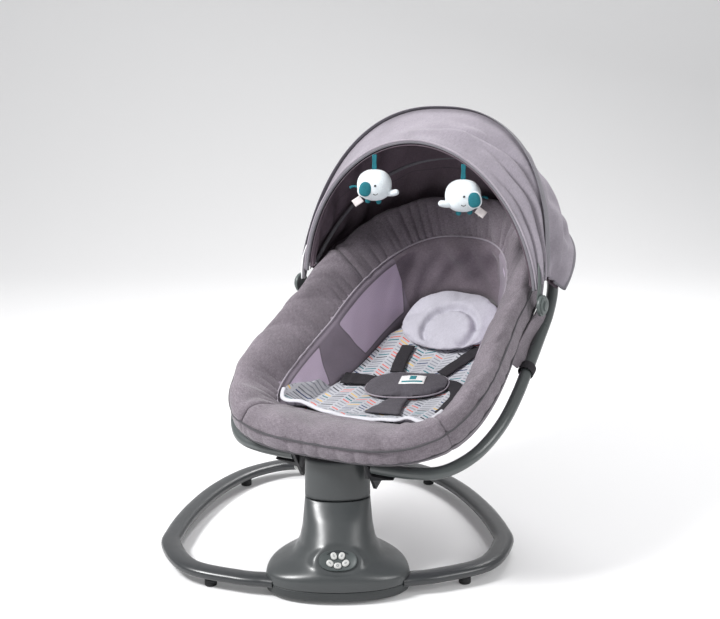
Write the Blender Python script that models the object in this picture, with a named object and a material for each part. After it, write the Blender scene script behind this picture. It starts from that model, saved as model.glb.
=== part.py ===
"""Baby swing: a padded bassinet seat on a motor column with an oval floor ring.

World frame, metres: origin on the floor under the column, +Z up, -Y to the front.
The seat is modelled in its own frame (u across, v from foot to head, w up from the
rim's plane), carried by empties: column (tilted axis), swing (turned to one side) and
seat (pitched head up).
"""
import math

import bmesh
import bpy
import numpy as np
from mathutils import Matrix, Vector

# ---------------------------------------------------------------- driving dimensions
GAP = 0.0004                        # running gap between neighbouring pieces
COLUMN_TILT = math.radians(4.0)     # swing axis leans towards the rear
AXIS_Y = -0.005                     # where the swing axis meets the floor
SWING_TURN = math.radians(-32.15)   # stored pose: swung fully to one side
SEAT_PITCH = math.radians(27.8)     # rim plane against the floor
SEAT_ORIGIN = Vector((0.0, -0.059, 0.234))
RIM_HALF_WIDTH = 0.221
RIM_LENGTH = 0.642
RIM_WAIST_V = 0.334                 # where the rim is parallel to v
HUB_V = 0.384
HUB_W = -0.004
POD_FLOOR = 0.004
POD_SPLIT = 0.0215                  # tray and shell clamp the ring tube here
POD_TOP = 0.134
NECK_TOP = 0.200
WALL = 0.0025
RING_Z = 0.0215
RING_WIDTH = 0.034
RING_HEIGHT = 0.018
SHAFT_R = 0.010
GEAR_TEETH = 37
PINION_TEETH = 12
MODULE = 0.0015
HOOP_R = 0.010
PANEL_CENTRE = Vector((0.0, -0.0965, 0.0665))
PANEL_SLOPE = math.radians(49.0)

GREY_GREEN = (0.098, 0.117, 0.117)
RING_GREY = (0.070, 0.077, 0.080)
BLACK = (0.012, 0.012, 0.013)
STEEL = (0.45, 0.45, 0.46)
LIGHT_GREY = (0.58, 0.58, 0.56)
RIM_GREY = (0.262, 0.231, 0.262)
LILAC = (0.352, 0.296, 0.376)
LILAC_PALE = (0.515, 0.468, 0.527)
WHITE = (0.70, 0.69, 0.73)
HARNESS = (0.060, 0.054, 0.062)
TEAL = (0.017, 0.223, 0.262)


# ---------------------------------------------------------------- modelling helpers
def clear_scene():
    for obj in list(bpy.data.objects):
        bpy.data.objects.remove(obj, do_unlink=True)


def plain_material(name, colour, roughness, metallic):
    material = bpy.data.materials.new(name)
    material.use_nodes = True
    shader = material.node_tree.nodes["Principled BSDF"]
    shader.inputs["Base Color"].default_value = (*colour, 1.0)
    shader.inputs["Roughness"].default_value = roughness
    shader.inputs["Metallic"].default_value = metallic
    return material


def empty(name, location, rotation_x=0.0, rotation_z=0.0, parent=None):
    obj = bpy.data.objects.new(name, None)
    bpy.context.collection.objects.link(obj)
    obj.parent = parent
    obj.location = location
    obj.rotation_euler = (rotation_x, 0.0, rotation_z)
    return obj


def solid(name, verts, faces, colour, parent=None, roughness=0.55, metallic=0.0):
    """Closed mesh object; coincident points are merged and faces turned outwards."""
    mesh = bpy.data.meshes.new(name)
    mesh.from_pydata([tuple(map(float, p)) for p in verts], [], faces)
    bm = bmesh.new()
    bm.from_mesh(mesh)
    bmesh.ops.remove_doubles(bm, verts=bm.verts, dist=1e-6)
    bmesh.ops.recalc_face_normals(bm, faces=bm.faces)
    bm.to_mesh(mesh)
    bm.free()
    mesh.shade_smooth()
    mesh.set_sharp_from_angle(angle=math.radians(35))
    mesh.materials.append(plain_material(name, colour, roughness, metallic))
    obj = bpy.data.objects.new(name, mesh)
    bpy.context.collection.objects.link(obj)
    obj.parent = parent
    return obj


def ring_faces(rings, count, closed):
    """Quads between successive rings of count points; caps, or a closed loop of rings."""
    faces = []
    last = rings if closed else rings - 1
    for i in range(last):
        j = (i + 1) % rings
        for k in range(count):
            m = (k + 1) % count
            faces.append((i * count + k, i * count + m, j * count + m, j * count + k))
    if not closed:
        faces.append(tuple(range(count)))
        faces.append(tuple((rings - 1) * count + k for k in range(count)))
    return faces


def rings_solid(name, rings, colour, closed=False, **kwargs):
    rings = np.asarray(rings, float)
    faces = ring_faces(rings.shape[0], rings.shape[1], closed)
    return solid(name, rings.reshape(-1, 3), faces, colour, **kwargs)


def thick_patch(name, outer, inner, colour, **kwargs):
    """Sheet between two matching grids of points, closed along its four edges."""
    outer = np.asarray(outer, float)
    inner = np.asarray(inner, float)
    rows, cols = outer.shape[:2]
    verts = np.concatenate([outer.reshape(-1, 3), inner.reshape(-1, 3)])
    half = rows * cols
    faces = []
    for i in range(rows - 1):
        for j in range(cols - 1):
            a, b, c, d = i * cols + j, i * cols + j + 1, (i + 1) * cols + j + 1, (i + 1) * cols + j
            faces.append((a, b, c, d))
            faces.append((half + d, half + c, half + b, half + a))
    edge = [j for j in range(cols)]
    edge += [i * cols + cols - 1 for i in range(1, rows)]
    edge += [(rows - 1) * cols + j for j in range(cols - 2, -1, -1)]
    edge += [i * cols for i in range(rows - 2, 0, -1)]
    for k, a in enumerate(edge):
        b = edge[(k + 1) % len(edge)]
        faces.append((b, a, half + a, half + b))
    return solid(name, verts, faces, colour, **kwargs)


def smooth_path(points, per_span):
    """Catmull-Rom curve through the points, per_span steps between each pair."""
    pts = np.asarray(points, float)
    pts = np.vstack([2 * pts[0] - pts[1], pts, 2 * pts[-1] - pts[-2]])
    t = np.linspace(0.0, 1.0, per_span, endpoint=False)[:, None]
    spans = []
    for a, b, c, d in zip(pts[:-3], pts[1:-2], pts[2:-1], pts[3:]):
        spans.append(0.5 * (2 * b + (c - a) * t + (2 * a - 5 * b + 4 * c - d) * t ** 2
                            + (3 * b - a - 3 * c + d) * t ** 3))
    return np.vstack(spans + [pts[-2][None, :]])


def oval(width, height, count, power=2.0):
    """Superellipse section, width across and height up."""
    a = np.linspace(0.0, 2 * math.pi, count, endpoint=False)
    c, s = np.cos(a), np.sin(a)
    return np.stack([width / 2 * np.sign(c) * np.abs(c) ** (2 / power),
                     height / 2 * np.sign(s) * np.abs(s) ** (2 / power)], axis=1)


def sweep(path, section, up):
    """Rings of a section carried along a path that lies square to the up direction."""
    path = np.asarray(path, float)
    up = np.asarray(up, float)
    tangent = np.gradient(path, axis=0)
    side = np.cross(tangent, up)
    side /= np.linalg.norm(side, axis=1)[:, None]
    return (path[:, None, :] + side[:, None, :] * section[None, :, 0, None]
            + up * section[None, :, 1, None])


def turned(name, profile, colour, segments=24, centre=(0.0, 0.0), hollow=False, **kwargs):
    """Solid of revolution about z: (radius, z) pairs; hollow closes the profile on itself."""
    a = np.linspace(0.0, 2 * math.pi, segments, endpoint=False)
    rings = [np.stack([centre[0] + r * np.cos(a), centre[1] + r * np.sin(a),
                       np.full(segments, z)], axis=1) for r, z in profile]
    return rings_solid(name, rings, colour, closed=hollow, **kwargs)


def block(name, low, high, colour, **kwargs):
    """Box between two corners."""
    x0, y0, z0 = low
    x1, y1, z1 = high
    verts = [(x0, y0, z0), (x1, y0, z0), (x1, y1, z0), (x0, y1, z0),
             (x0, y0, z1), (x1, y0, z1), (x1, y1, z1), (x0, y1, z1)]
    faces = [(0, 3, 2, 1), (4, 5, 6, 7), (0, 1, 5, 4), (1, 2, 6, 5), (2, 3, 7, 6), (3, 0, 4, 7)]
    return solid(name, verts, faces, colour, **kwargs)


def cut(obj, cutter):
    modifier = obj.modifiers.new("cut", "BOOLEAN")
    modifier.operation = "DIFFERENCE"
    modifier.object = cutter
    cutter.hide_render = True
    cutter.display_type = "WIRE"


# ---------------------------------------------------------------- base ring and feet
RING_ROUTE = ((0.100, -0.0735), (0.117, -0.0690), (0.160, -0.0590), (0.240, -0.0200),
              (0.279, 0.0580), (0.279, 0.1150), (0.261, 0.2050), (0.227, 0.3000),
              (0.179, 0.3770), (0.125, 0.4200), (0.080, 0.4325), (0.0330, 0.4350))
FEET = {"front": (0.205, -0.0410), "rear": (0.1760, 0.3800)}


def ring_rings(side, grow=0.0):
    route = [(side * x, y, RING_Z) for x, y in RING_ROUTE]
    section = oval(RING_WIDTH + grow, RING_HEIGHT + grow, 10, power=2.5)
    return sweep(smooth_path(route, 3), section, (0.0, 0.0, 1.0))


def build_base_ring():
    for side, word in ((-1, "left"), (1, "right")):
        rings_solid("ring_tube_" + word, ring_rings(side), RING_GREY, roughness=0.35)
        for end, (x, y) in FEET.items():
            turned("foot_" + end + "_" + word, [(0.0095, 0.0), (0.0100, 0.0015), (0.0100, 0.0118)],
                   BLACK, segments=16, centre=(side * x, y), roughness=0.8)
    sleeve_path = [(x, 0.4350, RING_Z) for x in np.linspace(-0.030, 0.030, 5)]
    section = oval(RING_WIDTH + 0.003, RING_HEIGHT + 0.003, 12, power=2.5)
    rings_solid("ring_rear_sleeve", sweep(sleeve_path, section, (0.0, 0.0, 1.0)), BLACK,
                roughness=0.5)


# ---------------------------------------------------------------- pod and neck
POD_HEIGHTS = (POD_SPLIT + GAP / 2, 0.030, 0.038, 0.045, 0.050, 0.056, 0.0705, 0.091, 0.112, POD_TOP)
POD_HALF_WIDTH = (0.1150, 0.1150, 0.1130, 0.0990, 0.0830, 0.0710, 0.0615, 0.0570, 0.0550, 0.0530)
POD_FRONT = (-0.1190, -0.1195, -0.1190, -0.1170, -0.1130, -0.1070, -0.0930, -0.0740, -0.0540, -0.0270)
POD_REAR = (0.0650, 0.0650, 0.0640, 0.0610, 0.0580, 0.0560, 0.0520, 0.0480, 0.0430, 0.0345)
POD_WIDEST_Y = (-0.0600, -0.0600, -0.0590, -0.0540, -0.0460, -0.0360, -0.0200, -0.0080, 0.0000, 0.0044)
POD_SEGMENTS = 32
NECK_HALF_WIDTH = 0.053
NECK_HALF_DEPTH = 0.029


def axis_y(z):
    return AXIS_Y + z * math.tan(COLUMN_TILT)


def plan_ring(z, half_width, front, rear, widest, inset=0.0):
    """Egg-shaped plan section: an elliptical front and a squarer rear half."""
    a = np.linspace(0.0, 2 * math.pi, POD_SEGMENTS, endpoint=False)
    c, s = np.cos(a), np.sin(a)
    x = (half_width - inset) * np.sign(c) * np.abs(c) ** (2 / 2.15)
    depth = np.where(s < 0, widest - front - inset, rear - widest - inset)
    y = widest + depth * np.sign(s) * np.abs(s) ** (2 / 2.15)
    return np.stack([x, y, np.full_like(x, z)], axis=1)


def neck_ring(z, inset=0.0):
    a = np.linspace(0.0, 2 * math.pi, POD_SEGMENTS, endpoint=False)
    return np.stack([(NECK_HALF_WIDTH - inset) * np.cos(a),
                     axis_y(z) + (NECK_HALF_DEPTH - inset) * np.sin(a), np.full_like(a, z)], axis=1)


def disc_ring(z, radius):
    a = np.linspace(0.0, 2 * math.pi, POD_SEGMENTS, endpoint=False)
    return np.stack([radius * np.cos(a), axis_y(z) + radius * np.sin(a), np.full_like(a, z)], axis=1)


def build_pod():
    sizes = list(zip(POD_HEIGHTS, POD_HALF_WIDTH, POD_FRONT, POD_REAR, POD_WIDEST_Y))
    outer = [plan_ring(*row) for row in sizes]
    inner = [plan_ring(*row, inset=WALL + 0.0015) for row in sizes]
    shell = rings_solid("pod_shell", outer + inner[::-1], GREY_GREEN, closed=True, roughness=0.38)
    foot_row = sizes[0][1:]
    low = plan_ring(POD_FLOOR, *foot_row, inset=0.004)
    rings = [low, plan_ring(0.009, *foot_row), plan_ring(POD_SPLIT - GAP / 2, *foot_row),
             plan_ring(POD_SPLIT - GAP / 2, *foot_row, inset=WALL),
             plan_ring(POD_FLOOR + WALL, *foot_row, inset=WALL + 0.002)]
    tray = rings_solid("pod_tray", rings, GREY_GREEN, roughness=0.45)
    for side, word in ((-1, "left"), (1, "right")):
        cutter = rings_solid("ring_notch_" + word, ring_rings(side, grow=0.0012), BLACK)
        cut(shell, cutter)
        cut(tray, cutter)
    window = panel_object("bezel_seat_cutter", oval(0.0600 + 2 * GAP, 0.0340 + 2 * GAP, 28, 2.3),
                          -0.012, 0.012, BLACK)
    cut(shell, window)
    door_cutter = block("battery_opening_cutter", (-0.0404, -0.0404, 0.0), (0.0404, 0.0204, 0.012), BLACK)
    cut(tray, door_cutter)
    inlet_cutter = block("inlet_cutter", (-0.0084, 0.050, 0.0105), (0.0084, 0.080, 0.0185), BLACK)
    cut(tray, inlet_cutter)
    block("battery_door", (-0.040, -0.040, POD_FLOOR), (0.040, 0.020, POD_FLOOR + 0.0025), BLACK,
          roughness=0.6)
    block("power_inlet", (-0.008, 0.052, 0.011), (0.008, 0.0652, 0.018), BLACK, roughness=0.4)
    neck = [neck_ring(POD_TOP + GAP), neck_ring(NECK_TOP - 0.003), neck_ring(NECK_TOP, 0.003),
            disc_ring(NECK_TOP, 0.0125), disc_ring(NECK_TOP - 0.003, 0.0125),
            neck_ring(NECK_TOP - 0.0035, 0.0060), neck_ring(NECK_TOP - 0.006, WALL),
            neck_ring(POD_TOP + GAP, WALL)]
    rings_solid("neck_cover", neck, GREY_GREEN, closed=True, roughness=0.38)
    turned("floor_pad", [(0.030, 0.0), (0.030, POD_FLOOR - GAP)], BLACK, segments=32, roughness=0.9)


# ---------------------------------------------------------------- control panel
BUTTONS = {"power_button": (-0.0005, -0.0085, 0.0), "melody_button": (-0.0125, -0.0045, -40.0),
           "volume_button": (0.0120, -0.0045, 40.0), "slower_button": (-0.0065, 0.0070, -70.0),
           "faster_button": (0.0060, 0.0070, 70.0)}
BUTTON_LONG = 0.0118
BUTTON_SHORT = 0.0096


def panel_matrix():
    """Frame of the sloping control panel: x across, y up the slope, z out of the pod."""
    return Matrix.Translation(PANEL_CENTRE) @ Matrix.Rotation(PANEL_SLOPE, 4, "X")


def panel_object(name, outline, low, high, colour, centre=(0.0, 0.0), turn=0.0, **kwargs):
    """Prism on the panel: an outline in the panel's plane, from depth low to high."""
    frame = panel_matrix()
    spin = Matrix.Rotation(turn, 2)
    rings = []
    for z in (low, high):
        points = [spin @ Vector(p) + Vector(centre) for p in outline]
        rings.append([frame @ Vector((p.x, p.y, z)) for p in points])
    return rings_solid(name, rings, colour, **kwargs)


def build_controls():
    bezel = panel_object("control_bezel", oval(0.0600, 0.0340, 28, 2.3), -0.0035, 0.0, RING_GREY,
                         roughness=0.4)
    for name, (x, y, turn) in BUTTONS.items():
        angle = math.radians(turn)
        hole = oval(BUTTON_LONG + 2 * GAP, BUTTON_SHORT + 2 * GAP, 16, 2.4)
        cut(bezel, panel_object(name + "_cutter", hole, -0.01, 0.01, BLACK, centre=(x, y), turn=angle))
        panel_object(name, oval(BUTTON_LONG, BUTTON_SHORT, 16, 2.4), -0.0045, 0.0016, LIGHT_GREY,
                     centre=(x, y), turn=angle, roughness=0.4)
    panel_object("circuit_board", [(-0.022, -0.014), (0.022, -0.014), (0.022, 0.014), (-0.022, 0.014)],
                 -0.0085, -0.0070, (0.02, 0.12, 0.05))


# ---------------------------------------------------------------- drive inside the pod
GEAR_LOW = 0.0600
GEAR_HIGH = 0.0660


def toothed_ring(teeth, centre, z, phase):
    """Gear outline: four points a tooth, narrow enough to run free in its mate."""
    radius = MODULE * teeth / 2
    pitch = 2 * math.pi / teeth
    points = []
    for k in range(teeth):
        middle = phase + k * pitch
        for offset, reach in ((-0.24, -1.15), (-0.11, 0.75), (0.11, 0.75), (0.24, -1.15)):
            angle = middle + offset * pitch
            r = radius + reach * MODULE
            points.append((centre[0] + r * math.cos(angle), centre[1] + r * math.sin(angle), z))
    return points


def build_drive(column, swing):
    distance = MODULE * (GEAR_TEETH + PINION_TEETH) / 2
    rear = math.pi / 2
    half_tooth = math.pi / PINION_TEETH
    gear = [toothed_ring(GEAR_TEETH, (0.0, 0.0), z, rear - SWING_TURN) for z in (GEAR_LOW, GEAR_HIGH)]
    rings_solid("swing_gear", gear, LIGHT_GREY, parent=swing)
    pinion = [toothed_ring(PINION_TEETH, (0.0, distance), z, -rear + half_tooth)
              for z in (GEAR_LOW, GEAR_HIGH)]
    rings_solid("motor_pinion", pinion, STEEL, parent=column, metallic=1.0)
    turned("swing_motor", [(0.0135, 0.0240), (0.0150, 0.0255), (0.0150, 0.0550), (0.0135, 0.0565)],
           STEEL, centre=(0.0, distance), parent=column, metallic=1.0)
    turned("swing_shaft", [(SHAFT_R, GEAR_HIGH + GAP), (SHAFT_R, 0.2038)], STEEL, parent=swing, metallic=1.0,
           roughness=0.3)
    turned("bearing_post", [(0.0225, 0.0760), (0.0225, 0.1880), (0.0186, 0.1880), (0.0186, 0.0760)],
           GREY_GREEN, hollow=True, parent=column)
    for name, low in (("lower_bush", 0.080), ("upper_bush", 0.176)):
        turned(name, [(0.0182, low), (0.0182, low + 0.010), (SHAFT_R + GAP, low + 0.010),
                      (SHAFT_R + GAP, low)], (0.35, 0.24, 0.10), hollow=True, parent=column,
               metallic=1.0)
    turned("speaker", [(0.016, 0.0085), (0.020, 0.0140), (0.020, 0.0160)], BLACK,
           centre=(0.062, 0.010))


# ---------------------------------------------------------------- saddle and recline
SADDLE_HALF = 0.0660
SADDLE_CHEEK = 0.0595
LUG_IN = 0.0666
LUG_OUT = 0.0724


def build_saddle(swing):
    profile = [(-SADDLE_HALF, 0.176), (-SADDLE_CHEEK, 0.176), (-SADDLE_CHEEK, 0.2044),
               (SADDLE_CHEEK, 0.2044), (SADDLE_CHEEK, 0.176), (SADDLE_HALF, 0.176),
               (SADDLE_HALF, 0.2100), (-SADDLE_HALF, 0.2100)]
    rings = [[(x, y, z) for x, z in profile] for y in (-0.013, 0.013)]
    rings_solid("saddle_bracket", rings, BLACK, parent=swing, roughness=0.5)


def build_lugs(seat):
    plate = [(LUG_IN, -0.047), (LUG_OUT, -0.047), (LUG_OUT, -0.0700), (0.112, -0.0700),
             (LUG_OUT, -0.0800), (LUG_OUT, -0.100), (LUG_IN, -0.100)]
    for side, word in ((-1, "left"), (1, "right")):
        rings = [[(side * u, v, w) for u, w in plate] for v in (0.022, 0.042)]
        rings_solid("recline_lug_" + word, rings, BLACK, parent=seat, roughness=0.5)
    a = np.linspace(0.0, 2 * math.pi, 20, endpoint=False)
    knob = [[(-u, 0.034 + r * math.cos(t), -0.0905 + r * math.sin(t)) for t in a]
            for u, r in ((LUG_OUT + 0.0005, 0.0085), (LUG_OUT + 0.0120, 0.0085), (LUG_OUT + 0.0135, 0.0070))]
    rings_solid("recline_knob", knob, LIGHT_GREY, parent=seat, roughness=0.4)


# ---------------------------------------------------------------- seat outline
def outline(angles):
    """Egg-shaped rim in the seat plane: a square-shouldered foot and a rounder head."""
    c, s = np.cos(angles), np.sin(angles)
    power = np.where(s < 0, 3.208, 2.337)
    length = np.where(s < 0, RIM_WAIST_V, RIM_LENGTH - RIM_WAIST_V)
    u = np.sign(c) * np.abs(c) ** (2 / power) * RIM_HALF_WIDTH
    v = RIM_WAIST_V + np.sign(s) * np.abs(s) ** (2 / power) * length
    u = u * (1 + 0.2 * np.clip((RIM_WAIST_V - v) / RIM_WAIST_V, 0, 1))
    return np.stack([u, v], axis=1)


def even_outline(count):
    """The rim's points at even spacing, with its inward normals."""
    fine = outline(np.linspace(0.0, 2 * math.pi, 2881)) * 1.0
    steps = np.linalg.norm(np.diff(fine, axis=0), axis=1)
    length = np.concatenate([[0.0], np.cumsum(steps)])
    target = np.linspace(0.0, length[-1], count, endpoint=False)
    points = np.stack([np.interp(target, length, fine[:, 0]),
                       np.interp(target, length, fine[:, 1])], axis=1)
    tangent = np.roll(points, -1, axis=0) - np.roll(points, 1, axis=0)
    tangent /= np.linalg.norm(tangent, axis=1)[:, None]
    return points, np.stack([-tangent[:, 1], tangent[:, 0]], axis=1)


RIM_STATIONS = 48


def rim_frame():
    points, inward = even_outline(RIM_STATIONS)
    along_v = inward[:, 1] ** 2
    end_width = np.where(points[:, 1] < RIM_WAIST_V, 0.108, 0.060)
    width = 0.073 + (end_width - 0.073) * along_v
    foot = np.where(points[:, 1] < RIM_WAIST_V, along_v, 0.0)
    return points, inward, width, foot


def rim_rings(profile):
    """Rings of the rim pad: profile rows are (share of width, height at sides, at foot)."""
    points, inward, width, foot = rim_frame()
    rings = []
    for p, n, wide, f in zip(points, inward, width, foot):
        rings.append([(p[0] + n[0] * wide * share, p[1] + n[1] * wide * share,
                       side * (1 - f) + toe * f) for share, side, toe in profile])
    return np.array(rings)


RIM_OUTER = ((0.0, -0.022, -0.020), (0.03, 0.000, 0.000), (0.17, 0.022, 0.015), (0.40, 0.031, 0.022),
             (0.62, 0.024, 0.012), (0.82, 0.002, -0.012), (0.97, -0.034, -0.040),
             (0.95, -0.045, -0.048), (0.70, -0.046, -0.044), (0.40, -0.044, -0.031), (0.12, -0.040, -0.029))


def tube_loop(offset, height, radius, count):
    """Round section about the rim's line, offset inwards, in the seat frame."""
    points, inward, _, _ = rim_frame()
    rings = []
    for p, n in zip(points, inward):
        rings.append([(p[0] + n[0] * (offset + radius * math.cos(t)),
                       p[1] + n[1] * (offset + radius * math.cos(t)),
                       height + radius * math.sin(t))
                      for t in np.linspace(0, 2 * math.pi, count, endpoint=False)])
    return np.array(rings)


RIM_PARTS = {"rim_pad_right": (41, 53), "rim_pad_head": (5, 19), "rim_pad_left": (19, 31),
             "rim_pad_foot": (31, 41)}
RIM_SEAM = 0.03                     # share of a station left open at each mitre seam


def build_rim(seat):
    outer = rim_rings(RIM_OUTER)
    inner = tube_loop(0.030, -0.006, 0.0086, len(RIM_OUTER))
    inner = np.roll(inner[:, ::-1], 6, axis=1)
    for name, (start, end) in RIM_PARTS.items():
        index = np.arange(start, end + 1)
        pick_out = outer[index % RIM_STATIONS].copy()
        pick_in = inner[index % RIM_STATIONS].copy()
        for grid in (pick_out, pick_in):
            grid[0] += (grid[1] - grid[0]) * RIM_SEAM
            grid[-1] += (grid[-2] - grid[-1]) * RIM_SEAM
        count = outer.shape[1]
        rows = len(index)
        verts = np.concatenate([pick_out.reshape(-1, 3), pick_in.reshape(-1, 3)])
        half = rows * count
        faces = []
        for i in range(rows - 1):
            for k in range(count):
                m = (k + 1) % count
                a, b, c, d = i * count + k, i * count + m, (i + 1) * count + m, (i + 1) * count + k
                faces.append((a, b, c, d))
                faces.append((half + d, half + c, half + b, half + a))
        for base in (0, (rows - 1) * count):
            for k in range(count):
                m = (k + 1) % count
                faces.append((base + k, base + m, half + base + m, half + base + k))
        solid(name, verts, faces, RIM_GREY, parent=seat, roughness=0.9)
    rings_solid("seat_frame_tube", tube_loop(0.030, -0.006, 0.0080, 6), STEEL, closed=True,
                parent=seat, metallic=1.0)


HOOP_ROUTE = ((0.0745, 0.0312, -0.0585), (0.0990, 0.0310, -0.0585), (0.1430, 0.0330, -0.0580),
              (0.1860, 0.0430, -0.0580), (0.2150, 0.0690, -0.0580), (0.2340, 0.1060, -0.0580),
              (0.2450, 0.1620, -0.0580), (0.2450, 0.2250, -0.0580), (0.2390, 0.2920, -0.0580),
              (0.2320, 0.3600, -0.0580), (0.2230, 0.4320, -0.0580), (0.2040, 0.5020, -0.0580),
              (0.1690, 0.5680, -0.0580), (0.1120, 0.6180, -0.0580), (0.0500, 0.6400, -0.0580))


def build_hoop(seat):
    half = list(HOOP_ROUTE)
    mirrored = [(-u, v, w) for u, v, w in half[::-1]]
    path = smooth_path(half + [(0.0, 0.6440, -0.0580)] + mirrored, 2)
    section = oval(2 * HOOP_R, 2 * HOOP_R, 8)
    rings_solid("support_hoop", sweep(path, section, (0.0, 0.0, 1.0)), GREY_GREEN, parent=seat,
                roughness=0.35)


# ---------------------------------------------------------------- basket and liner
FLOOR_V = (0.100, 0.142, 0.221, 0.285, 0.380, 0.460, 0.530, 0.570, 0.600)
FLOOR_W = (-0.060, -0.076, -0.113, -0.134, -0.152, -0.153, -0.138, -0.126, -0.115)
FLOOR_SCALE = 0.86
FLOOR_CENTRE_V = 0.345


def floor_w(v):
    """Height of the liner's top along the seat's middle, smoothed between its knots."""
    v = np.asarray(v, float)
    spread = 0.012
    return sum(np.interp(v + k * spread, FLOOR_V, FLOOR_W) for k in (-2, -1, 0, 1, 2)) / 5


def basket_lines(count):
    """Top edge of the basket wall (under the rim) and the edge of its floor."""
    points, inward = even_outline(count)
    along_v = inward[:, 1] ** 2
    end_width = np.where(points[:, 1] < RIM_WAIST_V, 0.108, 0.060)
    width = 0.073 + (end_width - 0.073) * along_v + 0.003
    top = points + inward * width[:, None]
    centre = np.array([0.0, FLOOR_CENTRE_V])
    floor = centre + (top - centre) * FLOOR_SCALE
    return top, floor


def build_basket(seat):
    count = 48
    top, floor = basket_lines(count)
    top_w = np.full(count, -0.050)
    low_w = floor_w(floor[:, 1]) + 0.004
    low_w = np.minimum(low_w, -0.056)
    parts = {"side_panel_right": (40, 53), "head_panel": (5, 19), "side_panel_left": (19, 32),
             "foot_panel": (32, 40)}
    colours = {"side_panel_right": RIM_GREY, "head_panel": LILAC, "side_panel_left": LILAC,
               "foot_panel": RIM_GREY}
    shares = np.linspace(0.0, 1.0, 4)
    centre = np.array([0.0, FLOOR_CENTRE_V])
    for name, (start, end) in parts.items():
        index = np.arange(start, end + 1)
        places = [float(k) for k in index]
        places[0] += 0.03
        places[-1] -= 0.03
        lower = np.floor(places).astype(int)
        blend = (np.array(places) - lower)[:, None]

        def along(values):
            values = values.reshape(count, -1)
            return values[lower % count] * (1 - blend) + values[(lower + 1) % count] * blend
        edge, base = along(top), along(floor)
        edge_w, base_w = along(top_w)[:, 0], along(low_w)[:, 0]
        outer = []
        inner = []
        for s in shares:
            plan = edge * (1 - s) + base * s
            height = edge_w * (1 - s) + base_w * s
            out = plan - centre
            out = out / np.linalg.norm(out, axis=1)[:, None]
            inner.append(np.column_stack([plan, height]))
            outer.append(np.column_stack([plan + out * 0.0025, height - 0.0006]))
        thick_patch(name, outer, inner, colours[name], parent=seat, roughness=0.9)
    floor_disc("seat_sling", 0.955, -0.0122, -0.0152, LILAC, seat)
    floor_disc("liner_pad", 0.955, 0.0, -0.0100, WHITE, seat)


def floor_disc(name, scale, high, low, colour, seat):
    """Shallow dish that follows the basket floor between two offsets from the liner's top."""
    _, floor = basket_lines(28)
    centre = np.array([0.0, FLOOR_CENTRE_V])
    rings = []
    for offset, shares in ((high, (0.05, 0.35, 0.68, 0.90, 1.0)), (low, (1.0, 0.90, 0.68, 0.35, 0.05))):
        for share in shares:
            plan = centre + (floor - centre) * scale * share
            height = floor_w(plan[:, 1]) + offset + 0.006 * (share * np.abs(floor[:, 0]) / 0.13) ** 2
            rings.append(np.column_stack([plan, height]))
    rings_solid(name, rings, colour, parent=seat, roughness=0.9)


PAD_LIFT = 0.0045    # clear gap between the liner and what lies on it


def pad_on_floor(name, centre, half, thickness, colour, seat, bend=0.0):
    """Oval pad lying on the liner: half sizes in u and v, bent along u into a crescent."""
    a = np.linspace(0.0, 2 * math.pi, 24, endpoint=False)
    rings = []
    for share, height in ((0.2, 1.0), (0.75, 0.92), (0.97, 0.55), (0.97, 0.2), (0.8, 0.0), (0.2, 0.0)):
        u = centre[0] + half[0] * share * np.sign(np.cos(a)) * np.abs(np.cos(a)) ** 0.85
        v = centre[1] + half[1] * share * np.sign(np.sin(a)) * np.abs(np.sin(a)) ** 0.85
        v = v + bend * (u / half[0]) ** 2
        w = floor_w(v) + 0.006 * (u / 0.13) ** 2 + PAD_LIFT + thickness * height
        rings.append(np.column_stack([u, v, w]))
    rings_solid(name, rings, colour, parent=seat, roughness=0.9)


def strap(name, route, width, thickness, seat):
    """Flat webbing along a route of (u, v) points on the liner."""
    path = smooth_path([(u, v, 0.0) for u, v in route], 4)[:, :2]
    tangent = np.gradient(path, axis=0)
    tangent /= np.linalg.norm(tangent, axis=1)[:, None]
    side = np.stack([-tangent[:, 1], tangent[:, 0]], axis=1) * width / 2

    def sheet(height):
        rows = []
        for sign in (-1.0, 0.0, 1.0):
            plan = path + sign * side
            w = floor_w(plan[:, 1]) + 0.006 * (plan[:, 0] / 0.13) ** 2 + height
            rows.append(np.column_stack([plan, w]))
        return rows
    thick_patch(name, sheet(PAD_LIFT + thickness), sheet(PAD_LIFT), HARNESS, parent=seat, roughness=0.8)


def build_soft_seat(seat):
    pad_on_floor("head_pillow", (0.0, 0.462), (0.094, 0.068), 0.020, WHITE, seat)
    pad_on_floor("waist_pad", (0.0, 0.275), (0.078, 0.036), 0.012, HARNESS, seat, bend=0.018)
    strap("crotch_strap", ((0.0, 0.236), (0.0, 0.180)), 0.024, 0.003, seat)
    for side, word in ((-1, "left"), (1, "right")):
        strap("shoulder_strap_" + word, ((side * 0.058, 0.333), (side * 0.062, 0.389)), 0.022, 0.003,
              seat)


# ---------------------------------------------------------------- canopy
BOW_R = 0.0034
FRONT_BOW = {"angle": 60.9, "reach": 0.265, "power": 1.95, "half": 0.2265, "start": 0.024}
MID_BOW = {"angle": 41.0, "reach": 0.328, "power": 2.35, "half": 0.2345, "start": 0.014}
REAR_BOW = {"angle": 17.0, "reach": 0.300, "power": 2.50, "half": 0.2265, "start": 0.044}
HEM = {"angle": -5.0, "reach": 0.283, "power": 2.60, "half": 0.2560, "start": 0.050}


def bow_point(share, bow, grow=0.0):
    """Point of a bow: share 0 to 1 runs from the right hub over the top to the left hub."""
    t = math.pi * share
    c, s = math.cos(t), math.sin(t)
    u = math.copysign(abs(c) ** (2 / bow["power"]), c) * (bow["half"] + grow)
    rise = s ** (2 / bow["power"]) * (bow["reach"] + grow)
    angle = math.radians(bow["angle"])
    return (u, HUB_V + rise * math.cos(angle), HUB_W + rise * math.sin(angle))


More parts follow.
